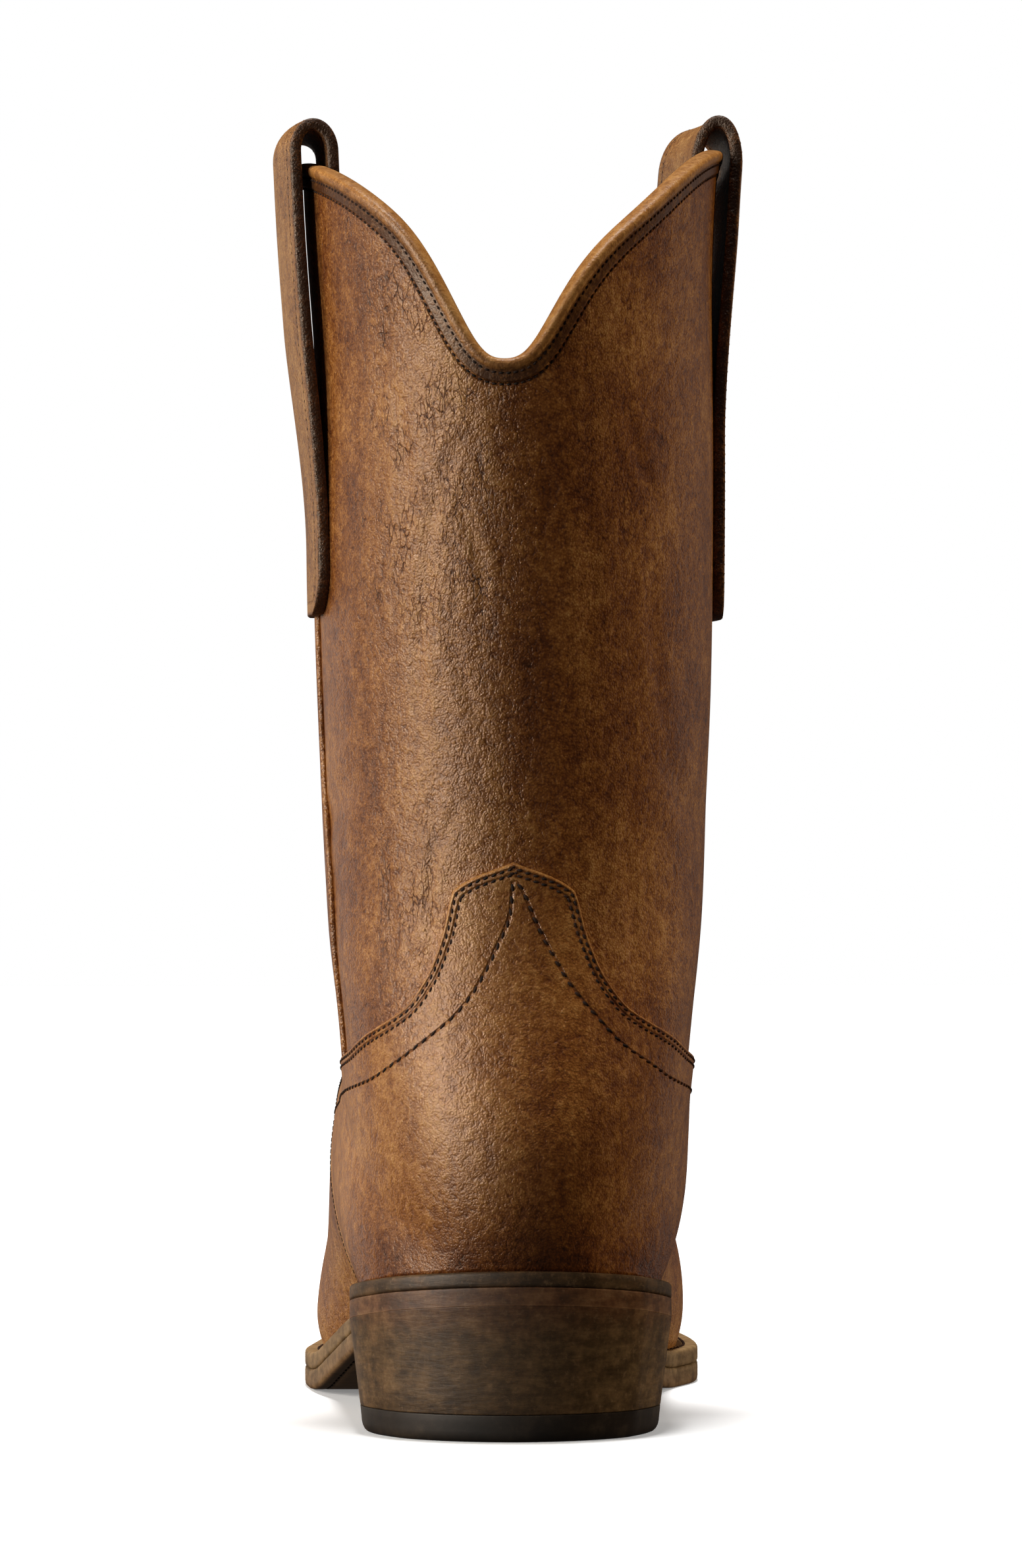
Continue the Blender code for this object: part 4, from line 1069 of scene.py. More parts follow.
top_mm = nearest(counter_skin, sampled(counter_skin[0]))
front_mm = nearest(counter_skin, np.concatenate((sampled(counter_skin[:, 0]), sampled(counter_skin[:, -1]))))
arch_end = counter_front(np.array([ARCH_END_SHARE]))[0] - ARCH_END_GAP
arch_lines = []
for table, side in ((ARCH_LATERAL, -1.0), (ARCH_MEDIAL, 1.0)):
    turn = np.linspace(math.radians(table[0][0]), arch_end, SAMPLES)
    arch_lines.append(
        on_heel(turn, arch_height(table, turn), np.full(SAMPLES, side), np.full(SAMPLES, OVERLAY_TOP)))
arch_mm = nearest(counter_skin, np.concatenate([sampled(line) for line, _ in arch_lines]))
arch_z = np.where(
    counter_side < 0.0, arch_height(ARCH_LATERAL, counter_turn), arch_height(ARCH_MEDIAL, counter_turn))
arch_mm = np.sqrt(np.maximum(arch_mm ** 2 - OVERLAY_TOP ** 2, 0.0)) * np.sign(counter_z - arch_z)
edge_mm = np.minimum(top_mm, front_mm)
counter_rise = OVERLAY_UNDER + (OVERLAY_TOP - OVERLAY_UNDER) * rounded(edge_mm, OVERLAY_ROUND)
over_welt = ease(counter_z - counter_z[-1:], *COUNTER_LOW_DARK_HIGH)
counter_x = counter_skin[..., 0]
# Tone of the counter: a small lift, darker towards the welt at the back, paler rubbed edges, the painted band
# of light and shade, and a painted highlight on the left side.
counter_wear_and_light = (
    COUNTER_TONE
    - COUNTER_LOW_DARK * (1.0 - over_welt) * (0.5 + 0.5 * np.cos(counter_turn)) ** 2
    + COUNTER_RUBBED * (1.0 - ease(edge_mm, *COUNTER_RUBBED_WIDE))
    + COUNTER_BAND * painted_light_band(counter_x - COUNTER_BAND_X)
    + COUNTER_LIT * (1.0 - ease(counter_x, *COUNTER_LIT_X)))
counter = slab(
    "counter_hide",
    counter_skin + counter_off * counter_rise[..., None],
    counter_skin + counter_off * OVERLAY_UNDER,
    {"top_mm": top_mm, "arch_mm": arch_mm, "wear_and_painted_light": counter_wear_and_light})
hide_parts("counter")
counter_grooves = [("top_mm", row) for row in COUNTER_STITCH_ROWS] + [("arch_mm", 0.0)]
counter.data.materials.append(cowhide(
    "waxed_cowhide_counter", LEATHER_TONES, counter_grooves, grain=0.75, cracks=0.45, gloss=0.4))


def moved_in(place, z, arc, distance):
    """Places and heights of an edge laid out flat, arc length against height, and moved along its normal."""
    slope = np.gradient(z, arc)
    size = np.sqrt(1.0 + slope ** 2)
    return np.interp(arc + distance * slope / size, arc, place), z - distance / size


def counter_row(distance):
    """Line on the counter at a distance inside its top edge, with its normals."""
    front = counter_front(np.array([1.0]))[0]
    turn = np.linspace(-front, front, 5 * SAMPLES)
    z = counter_top(np.abs(turn))
    ring = on_heel(np.abs(turn), z, turn, np.zeros(len(turn)))[0]
    steps = np.maximum(np.linalg.norm(np.diff(ring[:, :2], axis=0), axis=1), TINY)
    moved, z = moved_in(turn, z, np.concatenate(([0.0], np.cumsum(steps))), distance)
    return on_heel(np.abs(moved), z, moved, np.full(len(turn), OVERLAY_TOP))


counter_rows = [stitches(*counter_row(row), *COUNTER_STITCH) for row in COUNTER_STITCH_ROWS]
counter_rows += [stitches(line, off, *ARCH_STITCH) for line, off in arch_lines]
sew("counter_thread", counter_rows)


# Side seams: front and back of the shaft are joined at the sides, and a narrow strip of the same hide is laid
# over each joint, from the pull strap down to the counter, and sewn down along both edges.
SEAM_HALF_WIDE = 2.5
SEAM_TOP = 1.2
SEAM_ROUND = 0.7
SEAM_RUBBED = 0.06
SEAM_RUBBED_WIDE = 0.5
SEAM_Z = (88.0, 194.0)
SEAM_SWING_Z = (118.0, 165.0)
SEAM_LATERAL_Y = (51.0, 62.0)
SEAM_MEDIAL_Y = (78.0, 87.0)
SEAM_GRID = (160, 17)
SEAM_CROWD = 1.4
SEAM_STITCH_INSET = 1.5
SEAM_STITCH_SUNK = 0.2
SEAM_STITCH = (1.9, 1.5, 0.24, 0.1)


def seam_y(z, swing):
    """Place of a seam from the heel at a height: it swings back below the strap."""
    return swing[0] + (swing[1] - swing[0]) * ease(z, *SEAM_SWING_Z)


def side_seam(name, node, side, swing):
    """A narrow crowned strip on the upper, from counter to strap, with a row of stitches on each edge."""
    z = np.linspace(*SEAM_Z, SEAM_GRID[0])[:, None]
    across = np.linspace(-1.0, 1.0, SEAM_GRID[1])[None]
    across = np.sign(across) * (1.0 - (1.0 - np.abs(across)) ** SEAM_CROWD)
    z = np.broadcast_to(z, (SEAM_GRID[0], SEAM_GRID[1]))
    t, angle = locate(seam_y(z, swing) + SEAM_HALF_WIDE * across, z)
    skin_points = tube(t, side * angle)
    off = tube_normal(t, side * angle)
    edge = SEAM_HALF_WIDE * (1.0 - np.abs(np.broadcast_to(across, z.shape)))
    rise = OVERLAY_UNDER + (SEAM_TOP - OVERLAY_UNDER) * rounded(edge, SEAM_ROUND)
    strip = slab(
        name, skin_points + off * rise[..., None], skin_points + off * OVERLAY_UNDER,
        {"seam_mm": edge, "wear_and_painted_light": np.where(edge < SEAM_RUBBED_WIDE, SEAM_RUBBED, 0.0)})
    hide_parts(node)
    rows = []
    for share in (-1.0, 1.0):
        line_z = np.linspace(*SEAM_Z, SAMPLES)
        line_y = seam_y(line_z, swing) + share * (SEAM_HALF_WIDE - SEAM_STITCH_INSET)
        line_t, line_angle = locate(line_y, line_z)
        line = tube_off(line_t, side * line_angle, np.full(SAMPLES, SEAM_TOP - SEAM_STITCH_SUNK))
        rows.append(stitches(line, tube_normal(line_t, side * line_angle), *SEAM_STITCH))
    sew(name + "_thread", rows)
    return strip


seam_hide = cowhide("waxed_cowhide_seam", LEATHER_TONES, [("seam_mm", SEAM_STITCH_INSET)], cracks=0.3)
side_seam("seam_strip_lateral", "side_seam_lateral", -1.0, SEAM_LATERAL_Y).data.materials.append(seam_hide)
side_seam("seam_strip_medial", "side_seam_medial", 1.0, SEAM_MEDIAL_Y).data.materials.append(seam_hide)


# Topline binding: a strip of thin tan hide folded over a cord along the collar edge and sewn through twice.
# Hands have rubbed its crest pale; the flat part below the cord, which holds the first stitches, gets painted
# shade from the cord.
BINDING_STEPS = 560
BINDING_TONES = ((0.28, "#48260c"), (0.42, "#75481c"), (0.55, "#96622c"), (0.7, "#b07d42"), (0.85, "#c4985c"))
BINDING_PALE = 0.1
BINDING_PALE_UP = (-1.0, 1.2)
# Painted shade on the flat part below the cord: how much darker, and where across the profile it fades.
BINDING_SHADE = 0.2
BINDING_SHADE_UP = (-1.7, -1.1)
COLLAR_ROW_HEIGHTS = (0.5, 0.0)
COLLAR_STITCH = (1.7, 1.35, 0.27, 0.1)
COLLAR_LAID_Z = 265.0
BINDING_COLUMNS = ("away", "up")
BINDING_PROFILE = (
    (0.02, -4.3),
    (0.34, -4.25),
    (0.46, -3.9),
    (0.48, -1.9),
    (0.56, -1.45),
    (0.9, -1.1),
    (1.14, -0.6),
    (1.2, 0.0),
    (1.08, 0.55),
    (0.76, 0.95),
    (0.3, 1.18),
    (-0.4, 1.28),
    (-1.15, 1.3),
    (-1.9, 1.28),
    (-2.6, 1.18),
    (-3.06, 0.95),
    (-3.38, 0.55),
    (-3.5, 0.0),
    (-3.44, -0.6),
    (-3.2, -1.1),
    (-2.86, -1.45),
    (-2.78, -1.9),
    (-2.78, -4.0),
    (-2.32, -4.0),
    (-2.1, -0.3),
    (-0.2, -0.3),
)


def collar_frame(angle):
    """Collar edge, direction off the leather and direction up across the edge."""
    near = np.clip(angle, SLOPE_STEP - math.pi, math.pi - SLOPE_STEP)
    run = collar_point(near + SLOPE_STEP) - collar_point(near - SLOPE_STEP)
    run[:, 1:] = np.where((np.abs(angle) > math.pi - SLOPE_STEP)[:, None], 0.0, run[:, 1:])
    off = tube_normal(row_at_height(angle, collar_z(angle)), angle)
    up = np.cross(run, off)
    up *= np.sign(up[:, 2:3]) / np.linalg.norm(up, axis=-1, keepdims=True)
    return collar_point(angle), off, up


binding_angle = shaft_angle(np.linspace(0.0, 1.0, BINDING_STEPS + 1))
binding_edge, binding_off, binding_up = collar_frame(binding_angle)
profile_away = column(BINDING_PROFILE, BINDING_COLUMNS, "away")
profile_up = column(BINDING_PROFILE, BINDING_COLUMNS, "up")
binding_points = (
    binding_edge[:, None]
    + binding_off[:, None] * profile_away[None, :, None]
    + binding_up[:, None] * profile_up[None, :, None])
binding_number = np.arange(binding_points.shape[0] * len(BINDING_PROFILE)).reshape(-1, len(BINDING_PROFILE))
binding_number = np.concatenate((binding_number, binding_number[:, :1]), axis=1)
# Rubbed pale crest, and painted shade on the flat part below the cord.
crest = BINDING_PALE * ease(profile_up, *BINDING_PALE_UP)
crest = crest - BINDING_SHADE * (1.0 - ease(profile_up, *BINDING_SHADE_UP))
crest = np.broadcast_to(crest, binding_points.shape[:2])
binding = put_mesh(
    "topline_binding_roll", binding_points.reshape(-1, 3), cells(binding_number), {"wear_and_painted_light": crest})
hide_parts("topline_binding")
binding.data.materials.append(cowhide("rubbed_thin_hide", BINDING_TONES, grain=0.5, cracks=0.5, gloss=0.45))


def collar_row(distance, height):
    """Line at a distance below the collar edge and a height over the hide, with its normals."""
    angle = shaft_angle(np.linspace(0.0, 1.0, 5 * SAMPLES))
    ring = tube(row_at_height(angle, np.full(len(angle), COLLAR_LAID_Z)), angle)
    moved, z = moved_in(angle, collar_z(angle), run_along(ring), distance)
    t = row_at_height(moved, z)
    return tube_off(t, moved, np.full(len(t), height)), tube_normal(t, moved)


collar_seams = [collar_row(*row) for row in zip(COLLAR_ROWS, COLLAR_ROW_HEIGHTS)]
sew("collar_thread", [stitches(*seam, *COLLAR_STITCH) for seam in collar_seams])


# Pull straps: doubled straps of hide with raw cut edges, sewn flat to the shaft low down and folded over the
# collar to the inside. They stand a little off the shaft at the top, so that fingers go in.
STRAP_HALF_WIDE = 18.0
STRAP_THICK = 2.8
STRAP_OUTER_Z = 193.0
STRAP_INNER_Z = 244.0
STRAP_FOLD_Z = 303.0
STRAP_SEWN = 1.45
STRAP_SHARES = (0.58, 0.72)
STRAP_GRID = (170, 41)
STRAP_CROWD = 1.7
STRAP_END_STEPS = (0.0008, 0.002, 0.0035)
STRAP_TONES = ((0.26, "#361d0c"), (0.40, "#643c1b"), (0.52, "#83562b"), (0.64, "#9b6f3e"), (0.8, "#b28a58"))
STRAP_TONE = 0.05
STRAP_EDGE_DARK = 0.25
STRAP_EDGE_WIDE = 1.2
STRAP_ROUND = 0.5
STRAP_CORNER = 11.0
STRAP_STITCH_INSET = 3.2
STRAP_STITCH_SUNK = 0.12
STRAP_STITCH_SHARES = (0.02, 0.98)
STRAP_STITCH = (2.2, 1.6, 0.24, 0.1)
STRAP_STEP = 0.02
STRAP_COLUMNS = (
    "middle_y", "top_z", "near_stand", "far_stand", "inner_stand", "inner_lean", "free_from_z", "free_to_z")
STRAP_LATERAL = (62.0, 310.8, 4.2, 6.2, 4.9, -0.3, 208.0, 264.0)
STRAP_MEDIAL = (87.0, 314.8, 4.5, 5.2, 4.9, 4.5, 236.0, 290.0)


def strap_sheet(side, size, across, along):
    """Middle face of a strap.

    Along runs up the outside, over the fold in a half round and down the inside. Across runs from -1 to 1,
    drawn in near the ends so that their corners are round. The sheet stands off the tube by the sewn distance
    low down and by its own stand where it is free.
    """
    rise = np.clip(along / STRAP_SHARES[0], 0.0, 1.0)
    fold = np.clip((along - STRAP_SHARES[0]) / (STRAP_SHARES[1] - STRAP_SHARES[0]), 0.0, 1.0)
    drop = np.clip((along - STRAP_SHARES[1]) / (1.0 - STRAP_SHARES[1]), 0.0, 1.0)
    fold_high = size["top_z"] - STRAP_THICK / 2.0 - STRAP_FOLD_Z
    z = STRAP_OUTER_Z + (STRAP_FOLD_Z - STRAP_OUTER_Z) * rise
    z = z + fold_high * np.sin(math.pi * fold) - (STRAP_FOLD_Z - STRAP_INNER_Z) * drop
    to_end = np.where(along < STRAP_SHARES[0], z - STRAP_OUTER_Z, z - STRAP_INNER_Z)
    corner = 1.0 - np.clip(to_end / STRAP_CORNER, 0.0, 1.0)
    half = STRAP_HALF_WIDE - STRAP_CORNER * (1.0 - np.sqrt(1.0 - corner ** 2))
    y = size["middle_y"] + across * half
    far = across / 2.0 + 0.5
    stand = size["near_stand"] + (size["far_stand"] - size["near_stand"]) * far
    free = ease(z, size["free_from_z"], size["free_to_z"])
    outside = STRAP_SEWN + (stand - STRAP_SEWN) * free
    inner_stand = size["inner_stand"] + size["inner_lean"] * far
    inside = -WALL - STRAP_SEWN - (inner_stand - WALL - STRAP_SEWN) * free
    bend = 0.5 - 0.5 * np.cos(math.pi * fold)
    t, angle = locate(y, z)
    return tube_off(t, side * angle, outside + (inside - outside) * bend), half, to_end


def pull_strap(name, node, side, sizes):
    """A strap with two faces, rounded edges and a row of stitches along each edge."""
    size = dict(zip(STRAP_COLUMNS, sizes))
    along = np.linspace(0.0, 1.0, STRAP_GRID[0])
    ends = np.array(STRAP_END_STEPS)
    along = np.concatenate(([0.0], ends, along[1:-1], 1.0 - ends[::-1], [1.0]))[:, None]
    across = np.linspace(-1.0, 1.0, STRAP_GRID[1])[None]
    across = np.sign(across) * (1.0 - (1.0 - np.abs(across)) ** STRAP_CROWD)
    grid = np.broadcast_arrays(along, across)
    sheet, half, to_end = strap_sheet(side, size, grid[1], grid[0])
    normal = sheet_normal(sheet, side)
    edge = np.minimum(half * (1.0 - np.abs(grid[1])), np.maximum(to_end, 0.0))
    thick = (STRAP_THICK / 2.0 * rounded(edge, STRAP_ROUND))[..., None]
    strap = slab(
        name, sheet + normal * thick, sheet - normal * thick,
        {"strap_mm": edge, "wear_and_painted_light": STRAP_TONE - STRAP_EDGE_DARK * (1.0 - ease(edge, 0.0, STRAP_EDGE_WIDE))})
    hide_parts(node)
    rows = []
    path = np.linspace(*STRAP_STITCH_SHARES, SAMPLES)
    for share in (-1.0, 1.0):
        inset = share * (1.0 - STRAP_STITCH_INSET / STRAP_HALF_WIDE)
        beside = inset + STRAP_STEP * np.array((-1.0, 0.0, 1.0))
        lines = strap_sheet(side, size, *np.meshgrid(beside, path))[0]
        for face in (1.0, -1.0):
            off = sheet_normal(lines, side)[:, 1] * face
            line = lines[:, 1] + off * (STRAP_THICK / 2.0 - STRAP_STITCH_SUNK)
            rows.append(stitches(line, off, *STRAP_STITCH))
    sew(name + "_thread", rows)
    return strap


strap_grooves = [("strap_mm", STRAP_STITCH_INSET)]
strap_hide = cowhide("waxed_strap_hide", STRAP_TONES, strap_grooves, cracks=0.4, gloss=0.5)
pull_strap("strap_lateral", "pull_strap_lateral", -1.0, STRAP_LATERAL).data.materials.append(strap_hide)
pull_strap("strap_medial", "pull_strap_medial", 1.0, STRAP_MEDIAL).data.materials.append(strap_hide)


# Insole: the board of firm natural leather inside, which the upper is lasted round.
# It carries the foot, so it is pale and matt with soft stains. A ring is a share of the width and a level.
INSOLE_RINGS = ((0.0, 0.0), (0.5, 0.0), (1.0, 0.0), (1.0, 0.8), (0.99, 1.0), (0.5, 1.0), (0.0, 1.0))
INSOLE_THICK = 3.0
INSOLE_INSET = 4.0
INSOLE_SHARE = 0.88
SOLE_ROUND_STEPS = 320
SOLE_ROUND_CROWD = 0.18


def round_turn(steps):
    """Turns once round a sole, closer together at the heel and the toe where the outline bends most."""
    turn = np.linspace(0.0, 2.0 * math.pi, steps + 1)
    return turn - SOLE_ROUND_CROWD * np.sin(2.0 * turn)


def sole_rings(rings, place):
    """Rings round the boot: place gives the points for a row of turns and a ring's sizes."""
    return np.stack([place(round_turn(SOLE_ROUND_STEPS), *ring) for ring in rings])


def shell(name, points, marks=None):
    """A closed body from rings of points."""
    number = np.arange(points.shape[0] * points.shape[1]).reshape(points.shape[:2])
    return put_mesh(name, points.reshape(-1, 3), cells(number), marks)


def insole_place(turn, share, level):
    """The feather line drawn in to a share of its width, at a level of the board's thickness."""
    feather_y = FEATHER_BACK_Y + (FEATHER_TIP_Y - FEATHER_BACK_Y) * (0.5 - 0.5 * np.cos(turn))
    y = feather_y + INSOLE_INSET * np.cos(turn)
    half = feather_half(feather_y) * INSOLE_SHARE * share
    x = outline_middle(y) + np.sign(np.round(np.sin(turn), 9)) * half
    return np.stack((x, y, feather_z(y) + INSOLE_THICK * level), axis=-1)


insole = shell("insole_board", sole_rings(INSOLE_RINGS, insole_place))
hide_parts("insole")
insole.data.materials.append(natural_leather("natural_insole_leather", "#7d5a3a", "#a98258", 0.9))


# Welt: a strip of leather sewn to the upper all round and stitched down to the outsole.
# Its edge is dyed grey brown, sanded and scuffed, with a soft lip where it meets the upper.
SOLE_HALF_WIDE = 44.0
WELT_RINGS_COLUMNS = ("inset", "level")
WELT_RINGS = (
    (13.0, 0.0),
    (6.0, 0.0),
    (0.7, 0.0),
    (0.25, 0.03),
    (0.05, 0.12),
    (0.0, 0.25),
    (0.0, 0.5),
    (0.0, 0.72),
    (0.1, 0.86),
    (0.35, 0.96),
    (0.8, 1.0),
    (1.6, 1.0),
    (3.0, 0.97),
    (6.0, 0.97),
    (13.0, 1.0),
    (13.0, 0.0),
)
WELT_GAP = 0.05
WELT_PALE = 0.11
WELT_DARK = 0.1
WELT_LIP_PALE = 0.06
WELT_STITCH_INSET = 3.2
WELT_STITCH_LEVEL = 0.97
WELT_STITCH_Y = 72.0
WELT_STITCH = (3.2, 2.6, 0.4)
FOREFOOT_Y = (50.0, 90.0)


def sole_plan(turn, inset):
    """The sole's outline moved in by some millimetres."""
    outer_y = LENGTH * (0.5 - 0.5 * np.cos(turn))
    y = outer_y + inset * np.cos(turn)
    half = outline_half(outer_y) * (1.0 - inset / SOLE_HALF_WIDE)
    return outline_middle(y) + np.sign(np.round(np.sin(turn), 9)) * half, y


def welt_place(turn, inset, level):
    """The sole's outline moved in, at a level of the welt's thickness."""
    x, y = sole_plan(turn, inset)
    bottom = outsole_top(y) + WELT_GAP
    return np.stack((x, y, bottom + (welt_top(y) - bottom) * level), axis=-1)


# Dyed and sanded leather edges: layers that lie flat show as fine level streaks, with pale scuffs and dirt.
EDGE_TONES = ((0.34, "#382612"), (0.46, "#513a20"), (0.56, "#684e2e"), (0.7, "#876b46"))
RED_TONES = ((0.34, "#3f200f"), (0.46, "#5b341b"), (0.56, "#714a2b"), (0.7, "#8a6644"))
RED_SPREAD = 1.6
LAYER_FLAT = 4.0
LAYER_MM = 8.0
LAYER_FINE_MM = 3.0
LAYER_DEEP = 0.5
BLOT_MM = 5.0
BLOT_SHARE = 0.66
SCUFF_MM = 1.4
SCUFF_RANGE = (0.56, 0.74)
SCUFF_SHARE = 0.5
SCUFF_COLOUR = "#8a6a48"


def sole_hide(name, lines):
    """Leather edge; a mix of level streaks and blots, moved by the points' mark of wear, picks the colour on
    two ramps.

    The mark red says how far the colour goes over to the reddish ramp, spread by the blots.
    """
    hide, tree, shader = material(name)
    place = add(tree, "TexCoord").outputs["Object"]
    flat = add(tree, "Mapping", {"Vector": place, "Scale": (1.0, 1.0, LAYER_FLAT)}).outputs["Vector"]
    streak = noise(tree, flat, LAYER_MM * MM, 6.0, 0.62).outputs["Fac"]
    blot = noise(tree, place, BLOT_MM * MM, 7.0, 0.68).outputs["Fac"]
    both = add(tree, "Mix", {0: BLOT_SHARE, 2: streak, 3: blot}).outputs[0]
    level = calc(tree, "ADD", both, add(tree, "Attribute", attribute_name="wear_and_painted_light").outputs["Fac"])
    red = add(tree, "Attribute", attribute_name="red").outputs["Fac"]
    red = calc(tree, "MULTIPLY_ADD", calc(tree, "ADD", blot, -0.5), RED_SPREAD, red)
    red.node.use_clamp = True
    colour = add(tree, "Mix", {
        "Factor": red, 6: dyed(tree, level, EDGE_TONES), 7: dyed(tree, level, RED_TONES)}, data_type="RGBA")
    scuff = noise(tree, place, SCUFF_MM * MM, 4.0, 0.7).outputs["Fac"]
    scuff = add(tree, "MapRange", {
        "Value": scuff, "From Min": SCUFF_RANGE[0], "From Max": SCUFF_RANGE[1], "To Max": SCUFF_SHARE})
    colour = add(tree, "Mix", {
        "Factor": scuff.outputs["Result"], 6: colour.outputs[2], 7: linear(SCUFF_COLOUR)}, data_type="RGBA")
    fine = noise(tree, flat, LAYER_FINE_MM * MM, 4.0).outputs["Fac"]
    height = add(tree, "Mix", {0: 0.5, 2: fine, 3: streak}).outputs[0]
    bump = add(tree, "Bump", {"Height": height, "Strength": lines, "Distance": LAYER_DEEP * MM})
    tree.links.new(colour.outputs[2], shader.inputs["Base Color"])
    tree.links.new(bump.outputs["Normal"], shader.inputs["Normal"])
    shader.inputs["Roughness"].default_value = 0.58
    shader.inputs["Specular IOR Level"].default_value = 0.25
    return hide


def welt_marks(points):
    """The welt's edge is rubbed paler round the forefoot and a little on its lip."""
    level = np.broadcast_to(column(WELT_RINGS, WELT_RINGS_COLUMNS, "level")[:, None], points.shape[:2])
    ahead = ease(points[..., 1], *FOREFOOT_Y)
    wear_and_painted_light = WELT_PALE * ahead - WELT_DARK * (1.0 - ahead) + WELT_LIP_PALE * ease(level, 0.85, 1.0)
    return {"wear_and_painted_light": wear_and_painted_light, "red": np.zeros(level.shape)}


def sole_seam(place, sizes, up, stitch):
    """Stitches on a line round the boot, from one side of the heel round the toe to the other."""
    line = place(round_turn(10 * SAMPLES), *sizes)
    line = np.roll(line[:-1], len(line) // 2, axis=0)
    line = line[line[:, 1] > WELT_STITCH_Y]
    return stitches(line, np.tile((0.0, 0.0, up), (len(line), 1)), *stitch)


welt_points = sole_rings(WELT_RINGS, welt_place)
welt = shell("welt_strip", welt_points, welt_marks(welt_points))
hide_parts("welt")
welt.data.materials.append(sole_hide("dyed_welt_leather", 0.35))
welt_seam = sole_seam(welt_place, (WELT_STITCH_INSET, WELT_STITCH_LEVEL), 1.0, WELT_STITCH)
sew("welt_thread", [welt_seam])


# Outsole: one leather sole from the heel seat to the toe, sewn to the welt through a channel underneath.
# Its sanded edge is grey brown at the forefoot, and still reddish at the heel seat and underneath.
OUTSOLE_RINGS_COLUMNS = ("inset", "share", "level")
OUTSOLE_RINGS = (
    (13.0, 0.0, 0.0),
    (13.0, 0.5, 0.0),
    (13.0, 1.0, 0.0),
    (6.0, 1.0, 0.0),
    (4.2, 1.0, 0.0),
    (3.8, 1.0, 0.06),
    (3.4, 1.0, 0.06),
    (3.0, 1.0, 0.0),
    (1.2, 1.0, 0.0),
    (0.5, 1.0, 0.03),
    (0.12, 1.0, 0.12),
    (0.0, 1.0, 0.28),
    (0.0, 1.0, 0.5),
    (0.0, 1.0, 0.75),
    (0.05, 1.0, 0.9),
    (0.25, 1.0, 0.98),
    (0.7, 1.0, 1.0),
    (6.0, 1.0, 1.0),
    (13.0, 1.0, 1.0),
    (13.0, 0.5, 1.0),
    (13.0, 0.0, 1.0),
)
SEAT_BLEND_Y = (56.0, 70.0)
SEAT_ROUND_SHARE = 0.2
EDGE_ROUND_INSET = 1.5
OUTSOLE_PALE = 0.09
OUTSOLE_DARK = 0.02
UNDER_PALE = 0.1
SEAT_RED = 0.7
LOW_RED = 0.45
CHANNEL_INSET = 3.6
CHANNEL_LEVEL = 0.06
CHANNEL_STITCH = (3.2, 2.5, 0.3)


def outsole_place(turn, inset, share, level):
    """The sole's outline moved in and drawn to its middle by a share, at a level of the sole's thickness.

    The rounding of the edge is small above the heel and left out where the heel is joined on.
    """
    ahead = ease(LENGTH * (0.5 - 0.5 * np.cos(turn)), *SEAT_BLEND_Y)
    kept = (level > 0.5) * SEAT_ROUND_SHARE * (1.0 - ahead) + ahead
    x, y = sole_plan(turn, inset * np.where(inset < EDGE_ROUND_INSET, kept, 1.0))
    middle = outline_middle(y)
    bottom = outsole_bottom(y)
    return np.stack((middle + (x - middle) * share, y, bottom + (outsole_top(y) - bottom) * level), axis=-1)


def outsole_marks(points):
    """Reddish at the heel seat and underneath; the edge is paler at the forefoot."""
    level = np.broadcast_to(column(OUTSOLE_RINGS, OUTSOLE_RINGS_COLUMNS, "level")[:, None], points.shape[:2])
    inset = np.broadcast_to(column(OUTSOLE_RINGS, OUTSOLE_RINGS_COLUMNS, "inset")[:, None], points.shape[:2])
    ahead = ease(points[..., 1], *FOREFOOT_Y)
    under = (1.0 - ease(level, 0.0, 0.25)) * ease(inset, -0.2, 0.8)
    red = np.maximum(under, SEAT_RED * (1.0 - ahead))
    red = np.maximum(red, LOW_RED * (1.0 - level))
    return {"wear_and_painted_light": OUTSOLE_PALE * ahead - OUTSOLE_DARK * (1.0 - ahead) + UNDER_PALE * under, "red": red}


outsole_points = sole_rings(OUTSOLE_RINGS, outsole_place)
outsole = shell("leather_outsole", outsole_points, outsole_marks(outsole_points))
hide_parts("outsole")
outsole.data.materials.append(sole_hide("dyed_outsole_leather", 0.35))
channel = sole_seam(outsole_place, (CHANNEL_INSET, 1.0, CHANNEL_LEVEL), -1.0, CHANNEL_STITCH)
sew("channel_thread", [channel])


# Heel stack: lifts of thick leather glued and nailed on top of each other, then sanded and dyed as one block.
# The lifts hardly show: faint level streaks, tan scuffs and dirt on a dull grey brown.
HEEL_BREAST_Y = 62.0
HEEL_SEAT_INSET = 0.05
HEEL_FLOOR_INSET = 3.2
HEEL_BACK_RAKE = 4.0
HEEL_HALF_WIDE = 38.0
CAP_TOP = 6.3
HEEL_ROUND_STEPS = 200
HEEL_BREAST_STEPS = 40
STACK_GAP = 0.1
STACK_LAP = 0.04
STACK_TONE = -0.02
STACK_RED = 0.7
STACK_RED_Z = (21.0, 34.0)
# A ring is how far it is drawn in and its level between cap and sole.
STACK_RINGS = (
    (38.0, 0.0),
    (19.0, 0.0),
    (0.2, 0.0),
    (0.05, 0.004),
    (0.0, 0.012),
    (0.0, 0.2),
    (0.0, 0.4),
    (0.0, 0.6),
    (0.0, 0.8),
    (0.0, 0.99),
    (0.0, 1.0),
    (19.0, 1.0),
    (38.0, 1.0),
)


